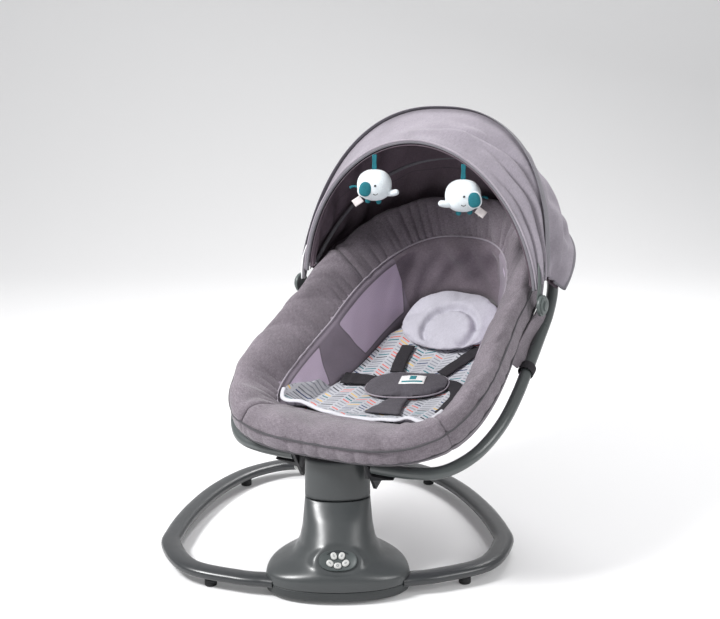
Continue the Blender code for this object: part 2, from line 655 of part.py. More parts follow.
def bow_start(bow):
    """Share of the bow at which its rise reaches the clear distance from the hub's axis."""
    return math.asin((bow["start"] / bow["reach"]) ** (bow["power"] / 2)) / math.pi


def build_bow(name, bow, colour, seat):
    first = bow_start(bow)
    path = [bow_point(s, bow) for s in np.linspace(first, 1 - first, 24)]
    angle = math.radians(bow["angle"])
    normal = (0.0, -math.sin(angle), math.cos(angle))
    section = oval(2 * BOW_R, 2 * BOW_R, 6)
    rings_solid(name, sweep(path, section, normal), colour, parent=seat, roughness=0.4)


def canopy_grid(first, second, rows, cols, grow, edge):
    """Grid of points between two bows, bulging a little between them."""
    shares = np.linspace(edge, 1 - edge, cols)
    grid = []
    for mix in np.linspace(0.012, 0.988, rows):
        bow = {key: first[key] * (1 - mix) + second[key] * mix for key in first}
        bulge = 0.004 * math.sin(math.pi * mix)
        grid.append([bow_point(s, bow, grow + bulge) for s in shares])
    return grid


def build_canopy(seat):
    build_bow("front_bow", FRONT_BOW, LILAC_PALE, seat)
    build_bow("mid_bow", MID_BOW, LILAC_PALE, seat)
    build_bow("rear_bow", REAR_BOW, LILAC_PALE, seat)
    lift = BOW_R + 0.0008
    sheet = 0.0014
    for name, first, second, rows in (("canopy_front_panel", FRONT_BOW, MID_BOW, 4),
                                      ("canopy_rear_panel", MID_BOW, HEM, 6)):
        edge = 0.075
        outer = canopy_grid(first, second, rows, 24, lift + sheet, edge)
        inner = canopy_grid(first, second, rows, 24, lift, edge)
        thick_patch(name, outer, inner, LILAC_PALE, parent=seat, roughness=0.85)
    a = np.linspace(0.0, 2 * math.pi, 24, endpoint=False)
    for side, word in ((-1, "left"), (1, "right")):
        rings = [[(side * u, HUB_V + r * math.cos(t), HUB_W + r * math.sin(t)) for t in a]
                 for u, r in ((0.2383, 0.0120), (0.2383, 0.0175), (0.2450, 0.0175), (0.2480, 0.0145))]
        rings_solid("canopy_hub_" + word, rings, GREY_GREEN, parent=seat, roughness=0.4)


# ---------------------------------------------------------------- hanging toys
TOY_SHARES = {"right": 0.356, "left": 0.612}


def build_toys(seat):
    """Plush heads on ribbons, hanging plumb from the front bow in the stored pose."""
    bpy.context.view_layer.update()
    for word, share in TOY_SHARES.items():
        hang = seat.matrix_world @ Vector(bow_point(share, FRONT_BOW))
        x, y = hang.x, hang.y
        top = hang.z - BOW_R - 0.0045
        block("toy_ribbon_" + word, (x - 0.004, y - 0.001, top - 0.026), (x + 0.004, y + 0.001, top), TEAL,
              roughness=0.7)
        middle = top - 0.0264 - 0.027
        heights = np.cos(np.linspace(0.12, math.pi - 0.12, 9))
        a = np.linspace(0.0, 2 * math.pi, 16, endpoint=False)
        rings = [[(x + 0.031 * math.sqrt(1 - h * h) * math.cos(t),
                   y + 0.024 * math.sqrt(1 - h * h) * math.sin(t), middle + 0.027 * h) for t in a]
                 for h in heights]
        rings_solid("toy_" + word, rings, WHITE, roughness=0.95)


def build():
    clear_scene()
    column = empty("column_frame", (0.0, AXIS_Y, 0.0), rotation_x=-COLUMN_TILT)
    swing = empty("swing_frame", (0.0, 0.0, 0.0), rotation_z=SWING_TURN, parent=column)
    offset = Matrix.Rotation(COLUMN_TILT, 3, "X") @ (SEAT_ORIGIN - Vector((0.0, AXIS_Y, 0.0)))
    seat = empty("seat_frame", offset, rotation_x=SEAT_PITCH + COLUMN_TILT, parent=swing)
    build_base_ring()
    build_pod()
    build_controls()
    build_drive(column, swing)
    build_saddle(swing)
    build_lugs(seat)
    build_rim(seat)
    build_hoop(seat)
    build_basket(seat)
    build_soft_seat(seat)
    build_canopy(seat)
    build_toys(seat)


build()
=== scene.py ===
"""Baby swing, dressed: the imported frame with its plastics, painted tubes, padding and cloth.

Sections follow the swing as it is put together, from the floor ring up to the toys.
Every new surface is a grid of points worked out with numpy, in metres.
"""
import math

import bpy
import numpy as np
from mathutils import Matrix, Vector


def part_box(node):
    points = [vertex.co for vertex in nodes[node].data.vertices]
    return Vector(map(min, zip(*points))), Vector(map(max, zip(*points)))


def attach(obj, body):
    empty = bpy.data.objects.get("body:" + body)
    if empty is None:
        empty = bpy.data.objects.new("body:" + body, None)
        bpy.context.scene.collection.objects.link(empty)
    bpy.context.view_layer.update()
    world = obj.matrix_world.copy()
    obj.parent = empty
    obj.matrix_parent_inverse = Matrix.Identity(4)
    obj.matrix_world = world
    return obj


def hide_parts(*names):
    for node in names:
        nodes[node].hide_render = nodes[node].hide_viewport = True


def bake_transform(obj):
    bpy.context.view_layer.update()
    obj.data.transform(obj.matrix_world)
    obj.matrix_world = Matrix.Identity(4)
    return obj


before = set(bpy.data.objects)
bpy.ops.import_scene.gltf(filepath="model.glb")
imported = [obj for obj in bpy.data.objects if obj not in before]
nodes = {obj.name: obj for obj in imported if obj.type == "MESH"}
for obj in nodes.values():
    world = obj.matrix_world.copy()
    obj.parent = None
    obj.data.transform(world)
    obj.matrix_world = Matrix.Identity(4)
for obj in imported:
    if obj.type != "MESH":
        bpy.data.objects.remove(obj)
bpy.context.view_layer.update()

# ------------------------------------------------------------------ studio
# A pale floor, a bright even room and three soft lamps; the camera looks down a little
# from the front, at the height of a standing parent's waist.
camera_data = bpy.data.cameras.new("camera")
camera_data.lens = 64.05
camera_data.sensor_width = 36.0
camera = bpy.data.objects.new("camera", camera_data)
camera.location = (0.0, -1.936, 0.944)
camera.rotation_euler = (math.radians(90 - 14.423), 0.0, -math.radians(1.073))
bpy.context.collection.objects.link(camera)
bpy.context.scene.camera = camera

world = bpy.data.worlds.new("studio")
world.use_nodes = True
world.node_tree.nodes["Background"].inputs["Color"].default_value = (0.95, 0.95, 0.96, 1.0)
world.node_tree.nodes["Background"].inputs["Strength"].default_value = 0.42
bpy.context.scene.world = world
bpy.context.scene.view_settings.view_transform = "Standard"

for lamp_name, place, aim, size, power in (
        ("key_lamp", (-1.5, -0.5, 1.9), (0.05, 0.15, 0.35), 0.6, 68.0),
        ("fill_lamp", (1.9, -1.1, 1.5), (0.1, 0.1, 0.35), 1.2, 26.0),
        ("back_lamp", (0.7, 1.5, 2.2), (0.1, 0.2, 0.4), 1.0, 40.0)):
    lamp = bpy.data.lights.new(lamp_name, "AREA")
    lamp.size = size
    lamp.energy = power
    lamp_object = bpy.data.objects.new(lamp_name, lamp)
    lamp_object.location = place
    lamp_object.rotation_euler = (Vector(aim) - Vector(place)).to_track_quat("-Z", "Y").to_euler()
    bpy.context.collection.objects.link(lamp_object)

floor_mesh = bpy.data.meshes.new("studio_floor")
bend = np.linspace(0.0, math.pi / 2, 24)
backdrop_y = np.concatenate([[-6.0], 2.2 + 1.6 * np.sin(bend), [3.8]])
backdrop_z = np.concatenate([[-0.0005], 1.5995 - 1.6 * np.cos(bend), [9.0]])
backdrop = [(x, y, z) for y, z in zip(backdrop_y.tolist(), backdrop_z.tolist())
            for x in (-9.0, 9.0)]
floor_mesh.from_pydata(backdrop, [], [(2 * k, 2 * k + 1, 2 * k + 3, 2 * k + 2)
                                      for k in range(len(backdrop_y) - 1)])
floor_mesh.shade_smooth()
floor = bpy.data.objects.new("studio_floor", floor_mesh)
bpy.context.collection.objects.link(floor)
floor_paint = bpy.data.materials.new("studio_floor")
floor_paint.use_nodes = True
floor_shader = floor_paint.node_tree.nodes["Principled BSDF"]
floor_shader.inputs["Base Color"].default_value = (0.745, 0.745, 0.75, 1.0)
floor_shader.inputs["Emission Color"].default_value = (1.0, 1.0, 1.0, 1.0)
floor_shader.inputs["Emission Strength"].default_value = 0.095
floor_shader.inputs["Roughness"].default_value = 0.9
floor_shader.inputs["Specular IOR Level"].default_value = 0.1
floor_mesh.materials.append(floor_paint)


# ------------------------------------------------------------------ shared tools
# Small formulas, shader nodes and the grid mesh that every piece is made with. All
# materials are worked out from noise in node groups, so nothing is read from a file.
def clamp(values):
    return np.clip(values, 0.0, 1.0)


def bell(distance, width):
    """1 at no distance, falling smoothly to nothing over about two widths."""
    return np.exp(-(distance / width) ** 2)


def smooth_step(values):
    return values * values * (3 - 2 * values)


def full_turn(count):
    """Evenly spaced angles once round."""
    return np.linspace(0.0, 2 * math.pi, count, endpoint=False)


def turned(x, y, angle):
    """Plan coordinates turned anticlockwise."""
    return x * math.cos(angle) - y * math.sin(angle), x * math.sin(angle) + y * math.cos(angle)


def unit(vectors):
    return vectors / np.linalg.norm(vectors, axis=-1, keepdims=True)


def signed_power(values, power):
    return np.sign(values) * np.abs(values) ** power


def disc_rings(profile, count):
    """Rings of a turned part from (along, radius) rows: along its axis and both ways across."""
    along, radius = np.array(profile)[:, :, None].transpose(1, 0, 2)
    angle = full_turn(count)
    return np.broadcast_arrays(along, radius * np.cos(angle), radius * np.sin(angle))


def tint(red, green, blue):
    """Linear colour from 0-255 display values."""
    values = np.array([red, green, blue]) / 255.0
    linear = np.where(values <= 0.04045, values / 12.92, ((values + 0.055) / 1.055) ** 2.4)
    return (*map(float, linear), 1.0)


def feed(tree, node, inputs):
    """Sets a node's inputs: each value is a number, a colour or the socket to link from."""
    for key, value in inputs.items():
        if isinstance(value, bpy.types.NodeSocket):
            tree.links.new(value, node.inputs[key])
        else:
            node.inputs[key].default_value = value


def add_node(tree, kind, inputs=(), **settings):
    """New shader node; inputs maps socket names or numbers to a value or to a socket."""
    made = tree.nodes.new(kind)
    for key, value in settings.items():
        setattr(made, key, value)
    feed(tree, made, dict(inputs))
    return made


def math_node(tree, operation, first, second=0.0, third=0.0):
    made = add_node(tree, "ShaderNodeMath", {0: first, 1: second, 2: third}, operation=operation)
    return made.outputs[0]


def noise(tree, vector, scale, detail, roughness=0.5):
    """Noise of a scale in waves to the metre, as a value about 0.5."""
    return add_node(tree, "ShaderNodeTexNoise", {"Vector": vector, "Scale": scale, "Detail": detail,
                                                 "Roughness": roughness}).outputs["Fac"]


def map_range(tree, value, from_min, from_max, to_min=0.0, to_max=1.0):
    return add_node(tree, "ShaderNodeMapRange", {
        "Value": value, "From Min": from_min, "From Max": from_max, "To Min": to_min,
        "To Max": to_max}).outputs[0]


def mix_colours(tree, factor, first, second):
    mix = add_node(tree, "ShaderNodeMix", {"Factor": factor, 6: first, 7: second}, data_type="RGBA")
    return mix.outputs[2]


def bump_normal(tree, height, strength, distance):
    return add_node(tree, "ShaderNodeBump", {"Height": height, "Strength": strength,
                                             "Distance": distance}).outputs[0]


def brightened(tree, colour, value):
    return add_node(tree, "ShaderNodeHueSaturation", {"Color": colour, "Value": value}).outputs[0]


def uv_place(tree):
    return add_node(tree, "ShaderNodeUVMap", uv_map="UVMap").outputs[0]


def new_material(name):
    """Material with nodes; gives it, its tree and its shader."""
    material = bpy.data.materials.new(name)
    material.use_nodes = True
    tree = material.node_tree
    return material, tree, tree.nodes["Principled BSDF"]


def group_tree(name, inputs, outputs):
    """Node group with its named sockets; gives the tree, its inputs and its outputs."""
    tree = bpy.data.node_groups.new(name, "ShaderNodeTree")
    for label, kind, value in inputs:
        socket = tree.interface.new_socket(label, in_out="INPUT", socket_type=kind)
        if value is not None:
            socket.default_value = value
    for label, kind in outputs:
        tree.interface.new_socket(label, in_out="OUTPUT", socket_type=kind)
    return tree, tree.nodes.new("NodeGroupInput").outputs, tree.nodes.new("NodeGroupOutput").inputs


def place_group(tree, group, inputs):
    return add_node(tree, "ShaderNodeGroup", inputs, node_tree=group).outputs


moulded, moulded_in, moulded_out = group_tree(
    "moulded_skin", [("Vector", "NodeSocketVector", None), ("Grain", "NodeSocketFloat", 1500.0)],
    [("Height", "NodeSocketFloat"), ("Cloud", "NodeSocketFloat"), ("Rub", "NodeSocketFloat")])
for output, (scale, detail, roughness) in {"Height": (moulded_in["Grain"], 2.0, 0.5),
                                           "Cloud": (14.0, 4.0, 0.5),
                                           "Rub": (60.0, 6.0, 0.7)}.items():
    moulded.links.new(noise(moulded, moulded_in["Vector"], scale, detail, roughness),
                      moulded_out[output])


def hard_material(name, colour, roughness, metallic=0.0, coat=0.0, grain=1500.0, bump=0.05,
                  spread=0.10):
    """Moulded or painted finish: cloudy colour, grained skin and slightly rubbed gloss."""
    material, tree, shader = new_material(name)
    place = add_node(tree, "ShaderNodeTexCoord")
    skin = place_group(tree, moulded, {"Vector": place.outputs["Object"], "Grain": grain})
    darker = tuple(c * (1 - spread) for c in colour[:3]) + (1.0,)
    lighter = tuple(min(1.0, c * (1 + spread)) for c in colour[:3]) + (1.0,)
    feed(tree, shader, {
        "Base Color": mix_colours(tree, skin["Cloud"], darker, lighter),
        "Roughness": map_range(tree, skin["Rub"], 0.3, 0.75, roughness - 0.05, roughness + 0.09),
        "Normal": bump_normal(tree, skin["Height"], bump, 0.0004),
        "Metallic": metallic, "Coat Weight": coat, "Coat Roughness": 0.25})
    return material


def grid_uv(points, wrap_rows, wrap_cols):
    """Running lengths in metres along the columns and the rows of a grid, seams included."""
    across = np.concatenate([points, points[:, :1]], axis=1) if wrap_cols else points
    along = np.concatenate([points, points[:1]], axis=0) if wrap_rows else points
    u = np.linalg.norm(np.diff(across, axis=1), axis=2).mean(axis=0)
    v = np.linalg.norm(np.diff(along, axis=0), axis=2).mean(axis=1)
    return np.concatenate([[0.0], np.cumsum(u)]), np.concatenate([[0.0], np.cumsum(v)])


def add_piece(name, points, material, body, slot, node=None, wrap_rows=False, wrap_cols=False,
              caps=False, thickness=0.0, sharp=45.0):
    """Mesh of a (rows, columns, 3) grid of points, turned outwards where it is closed.

    Its UV map holds the running length along columns and rows in metres. Caps close the
    first and last rows of a tube; thickness adds a Solidify wall to an open sheet.
    """
    points = np.asarray(points, float)
    rows, cols = points.shape[:2]
    i = np.arange(rows if wrap_rows else rows - 1)
    j = np.arange(cols if wrap_cols else cols - 1)
    ii, jj = (a.ravel() for a in np.meshgrid(i, j, indexing="ij"))
    i2, j2 = (ii + 1) % rows, (jj + 1) % cols
    quads = np.stack([ii * cols + jj, ii * cols + j2, i2 * cols + j2, i2 * cols + jj], axis=1)
    u, v = grid_uv(points, wrap_rows, wrap_cols)
    uv = np.stack([np.stack([u[jj], v[ii]], 1), np.stack([u[jj + 1], v[ii]], 1),
                   np.stack([u[jj + 1], v[ii + 1]], 1), np.stack([u[jj], v[ii + 1]], 1)], axis=1)
    closed = (wrap_rows and wrap_cols) or (wrap_cols and caps)
    flat = points.reshape(-1, 3)
    if closed:
        a, b, c, d = (flat[quads[:, k]] for k in range(4))
        volume = np.einsum("ij,ij->i", a, np.cross(b, c) + np.cross(c, d)).sum()
        if volume < 0:
            quads = quads[:, ::-1]
            uv = uv[:, ::-1]
    faces = quads.tolist()
    uv = uv.reshape(-1, 2)
    if caps:
        first, last = list(range(cols)), list(range((rows - 1) * cols, rows * cols))
        turned = closed and volume < 0
        faces.append(first if turned else first[::-1])
        faces.append(last[::-1] if turned else last)
        centre = points.mean(axis=(0, 1))
        for ring in (points[0], points[-1]):
            around = ring - ring.mean(axis=0)
            uv = np.concatenate([uv, around[:, :2] + centre[:2]])
    mesh = bpy.data.meshes.new(name)
    mesh.from_pydata(flat.tolist(), [], faces)
    layer = mesh.uv_layers.new(name="UVMap")
    layer.data.foreach_set("uv", uv.astype(np.float32).ravel())
    mesh.shade_smooth()
    mesh.set_sharp_from_angle(angle=math.radians(sharp))
    mesh.materials.append(material)
    obj = bpy.data.objects.new(name, mesh)
    bpy.context.collection.objects.link(obj)
    if thickness:
        wall = obj.modifiers.new("wall", "SOLIDIFY")
        wall.thickness = thickness
        wall.offset = 0.0
    if body:
        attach(obj, body)
    if node:
        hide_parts(*([node] if isinstance(node, str) else node))
    return obj


def add_tube(*args, **more):
    """A piece that closes round its columns, with a cap on either end."""
    return add_piece(*args, wrap_cols=True, caps=True, **more)


def add_loop(*args, **more):
    """A piece that closes both ways, like a ring."""
    return add_piece(*args, wrap_rows=True, wrap_cols=True, **more)


# ------------------------------------------------------------------ moulded pod and neck
# The pod is a satin grey-green ABS shell that flares from an oval neck into a wide foot.
# Shell and tray clamp the ring tube between them; the neck cover drops over the top.
AXIS_Y = -0.005
COLUMN_TILT = math.radians(4.0)
pod_plastic = hard_material("pod_plastic", tint(64, 67, 68), 0.34, coat=0.15)
tray_plastic = hard_material("tray_plastic", tint(50, 53, 54), 0.45)
black_plastic = hard_material("black_plastic", tint(38, 38, 41), 0.5, bump=0.12)
button_plastic = hard_material("button_plastic", tint(188, 189, 187), 0.38)


def ease(values, knots_x, knots_y, spread):
    """Knots joined by straight lines, then smoothed over a span either side."""
    values = np.asarray(values, float)
    shifts = np.linspace(-1.0, 1.0, 9) * spread
    weights = 1.0 - np.abs(np.linspace(-1.0, 1.0, 9)) * 0.85
    total = sum(w * np.interp(values + s, knots_x, knots_y) for s, w in zip(shifts, weights))
    return total / weights.sum()


POD_Z = (0.0217, 0.0300, 0.0380, 0.0450, 0.0500, 0.0560, 0.0705, 0.0910, 0.1120, 0.1340)
POD_HALF = (0.1150, 0.1150, 0.1130, 0.0990, 0.0830, 0.0710, 0.0615, 0.0570, 0.0550, 0.0530)
POD_FRONT = (-0.1190, -0.1195, -0.1190, -0.1170, -0.1130, -0.1070, -0.0930, -0.0740, -0.0540,
             -0.0270)
POD_REAR = (0.0650, 0.0650, 0.0640, 0.0610, 0.0580, 0.0560, 0.0520, 0.0480, 0.0430, 0.0345)
POD_WIDEST = (-0.0600, -0.0600, -0.0590, -0.0540, -0.0460, -0.0360, -0.0200, -0.0080, 0.0, 0.0044)
turn_96 = full_turn(96)


def plan_rings(z, half, front, rear, widest, inset=0.0, power=2.15):
    """Rings of the egg-shaped plan: an elliptical front half and a squarer rear half."""
    z, half, front, rear, widest = (np.atleast_1d(a)[:, None]
                                    for a in (z, half, front, rear, widest))
    c, s = np.cos(turn_96)[None], np.sin(turn_96)[None]
    x = (half - inset) * signed_power(c, 2 / power)
    depth = np.where(s < 0, widest - front - inset, rear - widest - inset)
    y = widest + depth * signed_power(s, 2 / power)
    return np.stack([x, y, np.broadcast_to(z, x.shape)], axis=2)


def pod_skin(z, inset=0.0):
    """The pod's rings at given heights."""
    rows = [ease(z, POD_Z, knots, 0.005) for knots in (POD_HALF, POD_FRONT, POD_REAR, POD_WIDEST)]
    return plan_rings(z, *rows, inset=inset)


PANEL_CENTRE = np.array([0.0, -0.0965, 0.0665])
PANEL_SLOPE = math.radians(49.0)
panel_across = np.array([1.0, 0.0, 0.0])
panel_up = np.array([0.0, math.cos(PANEL_SLOPE), math.sin(PANEL_SLOPE)])
panel_out = np.array([0.0, -math.sin(PANEL_SLOPE), math.cos(PANEL_SLOPE)])

pod_heights = np.concatenate([[0.0222, 0.0218, 0.0217][::-1], np.linspace(0.0225, 0.040, 12),
                              np.linspace(0.0415, 0.132, 58), [0.1332, 0.1338, 0.1340]])
pod_outer = pod_skin(pod_heights)
edge_round = np.zeros(len(pod_heights))
edge_round[:3] = (0.0012, 0.0007, 0.0003)
edge_round[-3:] = (0.0003, 0.0007, 0.0013)
pod_middle = np.stack([np.zeros_like(pod_heights), ease(pod_heights, POD_Z, POD_WIDEST, 0.005),
                       pod_heights], axis=1)[:, None]
radial = pod_outer - pod_middle
radial[:, :, 2] = 0.0
pod_outer = pod_outer - unit(radial) * edge_round[:, None, None]
# The control panel sits in a dished recess: the skin sinks to just under the panel's plane
# inside an oval, and blends back outside it.
local = pod_outer - PANEL_CENTRE
oval_reach = np.sqrt((local @ panel_across / 0.0350) ** 2 + (local @ panel_up / 0.0215) ** 2)
front_side = pod_outer[:, :, 1] < -0.03
sink = np.where(front_side, smooth_step(clamp((1.35 - oval_reach) / 0.35)), 0.0)
height_over = local @ panel_out
pod_outer = pod_outer - (sink * (height_over + 0.0026))[:, :, None] * panel_out
pod_inner = pod_skin(pod_heights[2:-3], inset=0.0062)
add_loop("pod_shell_skin", np.concatenate([pod_outer, pod_inner[::-1]]), pod_plastic, "base",
         "pod_plastic", "pod_shell")

tray_z = np.array([0.0040, 0.0042, 0.0050, 0.0065, 0.0090, 0.0150, 0.0205, 0.0210, 0.0213])
tray_inset = np.array([0.0065, 0.0050, 0.0030, 0.0015, 0.0004, 0.0, 0.0, 0.0003, 0.0010])
tray_row = [np.full(len(tray_z), knots[0]) for knots in (POD_HALF, POD_FRONT, POD_REAR, POD_WIDEST)]
tray_outer = plan_rings(tray_z, *tray_row, inset=tray_inset[:, None])
tray_back = plan_rings(np.array([0.0213, 0.0070]), *[row[:2] for row in tray_row], inset=0.0040)
add_tube("pod_tray_skin", np.concatenate([tray_outer, tray_back]), tray_plastic, "base",
         "pod_plastic", "pod_tray")


def neck_rings(z, half_width, half_depth):
    """Level ellipses centred on the leaning swing axis."""
    z, a, b = (np.atleast_1d(x)[:, None] for x in (z, half_width, half_depth))
    x = a * np.cos(turn_96)[None]
    y = AXIS_Y + z * math.tan(COLUMN_TILT) + b * np.sin(turn_96)[None]
    return np.stack([x, y, np.broadcast_to(z, x.shape)], axis=2)


neck_z = np.array([0.1344, 0.1346, 0.1352, 0.1400, 0.1600, 0.1800, 0.1930, 0.1968, 0.1986, 0.1996,
                   0.2000, 0.2000, 0.1970, 0.1965, 0.1350])
neck_in = np.array([0.0012, 0.0005, 0.0, 0.0, 0.0002, 0.0004, 0.0005, 0.0008, 0.0018, 0.0032,
                    0.0050, 0.0400, 0.0400, 0.0060, 0.0030])
neck_wide = np.where(neck_in > 0.03, 0.0126, 0.0530 - neck_in)
neck_deep = np.where(neck_in > 0.03, 0.0126, 0.0290 - neck_in)
add_loop("neck_cover_skin", neck_rings(neck_z, neck_wide, neck_deep), pod_plastic, "base",
         "pod_plastic", "neck_cover", sharp=50.0)

# ------------------------------------------------------------------ control panel
# A smoked oval bezel with five light petal-shaped keys in a fan and a dark window over
# them; each key carries a plain raised dot or bar. Profiles are (share of size, height).
bezel_plastic = hard_material("bezel_plastic", tint(70, 76, 76), 0.4)
window_plastic = hard_material("window_plastic", tint(46, 50, 53), 0.2, coat=0.5)
sign_ink = hard_material("sign_ink", tint(120, 124, 126), 0.5)


def on_panel(x, y, z):
    """Points of the sloping panel's own frame, in the world."""
    x, y, z = (np.asarray(a, float)[..., None] for a in (x, y, z))
    return PANEL_CENTRE + x * panel_across + y * panel_up + z * panel_out


def panel_dome(wide, tall, power, profile, centre=(0.0, 0.0), turn=0.0, count=48):
    """Rings of a domed oval on the panel: profile rows are (share of size, height)."""
    angle = full_turn(count)
    x = wide / 2 * signed_power(np.cos(angle), 2 / power)
    y = tall / 2 * signed_power(np.sin(angle), 2 / power)
    rings = []
    for share, high in profile:
        px, py = turned(x, y, turn)
        rings.append(on_panel(centre[0] + share * px, centre[1] + share * py, np.full(count, high)))
    return np.array(rings)


BEZEL_PROFILE = ((0.96, -0.0035), (1.0, -0.0030), (1.0, -0.0006), (0.985, 0.0003), (0.95, 0.0004),
                 (0.90, -0.0004), (0.5, -0.0007), (0.02, -0.0007))
KEY_PROFILE = ((0.97, -0.0045), (1.0, -0.0040), (1.0, 0.0006), (0.97, 0.0013), (0.86, 0.0018),
               (0.55, 0.0020), (0.03, 0.0021))
SIGN_PROFILE = ((1.0, 0.0015), (0.98, 0.0024), (0.60, 0.0024), (0.58, 0.0015))
SIGN_WIDE, ROUND_SIGN_TALL, FLAT_SIGN_TALL = 0.0042, 0.0042, 0.0020
KEYS = {"power_button": (-0.0005, -0.0085, 0.0), "melody_button": (-0.0125, -0.0045, -40.0),
        "volume_button": (0.0120, -0.0045, 40.0), "slower_button": (-0.0065, 0.0070, -70.0),
        "faster_button": (0.0060, 0.0070, 70.0)}
add_tube("control_bezel_face", panel_dome(0.0600, 0.0340, 2.3, BEZEL_PROFILE), bezel_plastic,
         "base", "black_plastic", "control_bezel")
for key_name, (key_x, key_y, key_turn) in KEYS.items():
    key_place = ((key_x, key_y), math.radians(key_turn))
    sign_tall = ROUND_SIGN_TALL if key_name == "power_button" else FLAT_SIGN_TALL
    add_tube(key_name + "_cap", panel_dome(0.0118, 0.0096, 2.4, KEY_PROFILE, *key_place, 40),
             button_plastic, key_name, "button_plastic", key_name)
    add_loop(key_name + "_sign", panel_dome(SIGN_WIDE, sign_tall, 2.0, SIGN_PROFILE, *key_place,
                                            20), sign_ink, key_name, "button_plastic")
window_x = np.linspace(-0.0165, 0.0165, 40)
window_mid = 0.0140 - 0.0042 * (window_x / 0.0165) ** 2
window_half = 0.0016 * np.sqrt(np.clip(1.0 - (window_x / 0.0168) ** 2, 0.02, 1.0))
window_turn = full_turn(16)
window_grid = on_panel(np.repeat(window_x[:, None], 16, 1),
                       window_mid[:, None] + window_half[:, None] * np.cos(window_turn)[None],
                       0.0004 + 0.0006 * np.sin(window_turn)[None] * np.ones((40, 1)))
add_tube("control_window", window_grid, window_plastic, "base", "black_plastic")

# ------------------------------------------------------------------ floor ring
# Two bent flat-oval steel tubes, painted dark grey, run from the pod to a black sleeve at
# the rear. Four ribbed rubber feet hang under them.
ring_paint = hard_material("ring_paint", tint(50, 52, 54), 0.32, coat=0.3, grain=700.0, bump=0.03)
rubber = hard_material("rubber", tint(34, 34, 36), 0.78, bump=0.2, spread=0.2)


def catmull_rom(knots, t):
    """Curve between the middle two of four neighbouring knots."""
    a, b, c, d = knots
    return 0.5 * (2 * b + (c - a) * t + (2 * a - 5 * b + 4 * c - d) * t ** 2
                  + (3 * b - a - 3 * c + d) * t ** 3)


def smooth_path(points, per_span):
    """Catmull-Rom curve through the points, per_span steps between each pair."""
    pts = np.asarray(points, float)
    pts = np.vstack([2 * pts[0] - pts[1], pts, 2 * pts[-1] - pts[-2]])
    t = np.linspace(0.0, 1.0, per_span, endpoint=False)[None, :, None]
    spans = catmull_rom([pts[k:len(pts) - 3 + k][:, None] for k in range(4)], t)
    return np.vstack([spans.reshape(-1, pts.shape[1]), pts[-2][None]])


def sweep(path, section, up, loop=False, scale=None):
    """A section carried along a path: its first axis lies square to the path and to up."""
    path = np.asarray(path, float)
    up = np.broadcast_to(np.asarray(up, float), path.shape)
    step = np.roll(path, -1, 0) - np.roll(path, 1, 0) if loop else np.gradient(path, axis=0)
    side = unit(np.cross(step, up))
    rise = unit(np.cross(side, step))
    grow = np.ones(len(path)) if scale is None else scale
    return (path[:, None] + grow[:, None, None] * (side[:, None] * section[None, :, 0, None]
                                                   + rise[:, None] * section[None, :, 1, None]))


def oval(width, height, count, power=2.0):
    """Superellipse section."""
    angle = full_turn(count)
    return np.stack([width / 2 * signed_power(np.cos(angle), 2 / power),
                     height / 2 * signed_power(np.sin(angle), 2 / power)], axis=1)


RING_ROUTE = ((0.100, -0.0735), (0.117, -0.0690), (0.160, -0.0590), (0.240, -0.0200),
              (0.279, 0.0580), (0.279, 0.1150), (0.261, 0.2050), (0.227, 0.3000),
              (0.179, 0.3770), (0.125, 0.4200), (0.080, 0.4325), (0.0330, 0.4350))
FOOT_PROFILE = ((0.0, 0.0088), (0.0004, 0.0096), (0.0014, 0.0100), (0.0030, 0.0100),
                (0.0034, 0.0096), (0.0040, 0.0096), (0.0044, 0.0100), (0.0060, 0.0100),
                (0.0064, 0.0096), (0.0070, 0.0096), (0.0074, 0.0100), (0.0112, 0.0100),
                (0.0118, 0.0096))
for side, word in ((-1, "left"), (1, "right")):
    route = smooth_path([(side * x, y, 0.0215) for x, y in RING_ROUTE], 10)
    add_tube("ring_tube_%s_paint" % word, sweep(route, oval(0.034, 0.018, 28, 2.5), (0, 0, 1)),
             ring_paint, "base", "ring_paint", "ring_tube_" + word)
    for end, (x, y) in {"front": (0.205, -0.0410), "rear": (0.1760, 0.3800)}.items():
        along, one, other = disc_rings(FOOT_PROFILE, 32)
        rings = np.stack([side * x + one, y + other, along], axis=2)
        foot = "foot_%s_%s" % (end, word)
        add_tube(foot + "_rubber", rings, rubber, "base", "rubber", foot)
sleeve_x = np.array([-0.0300, -0.0298, -0.0290, -0.0270, -0.0260, -0.0255, 0.0255, 0.0260, 0.0270,
                     0.0290, 0.0298, 0.0300])
sleeve_grow = np.array([0.93, 0.97, 0.995, 1.0, 1.0, 0.985, 0.985, 1.0, 1.0, 0.995, 0.97, 0.93])
sleeve_path = np.stack([sleeve_x, np.full(12, 0.4350), np.full(12, 0.0215)], axis=1)
add_tube("ring_rear_sleeve_skin", sweep(sleeve_path, oval(0.037, 0.021, 36, 2.5), (0, 0, 1),
                                        scale=sleeve_grow), black_plastic, "base", "black_plastic",
         "ring_rear_sleeve")

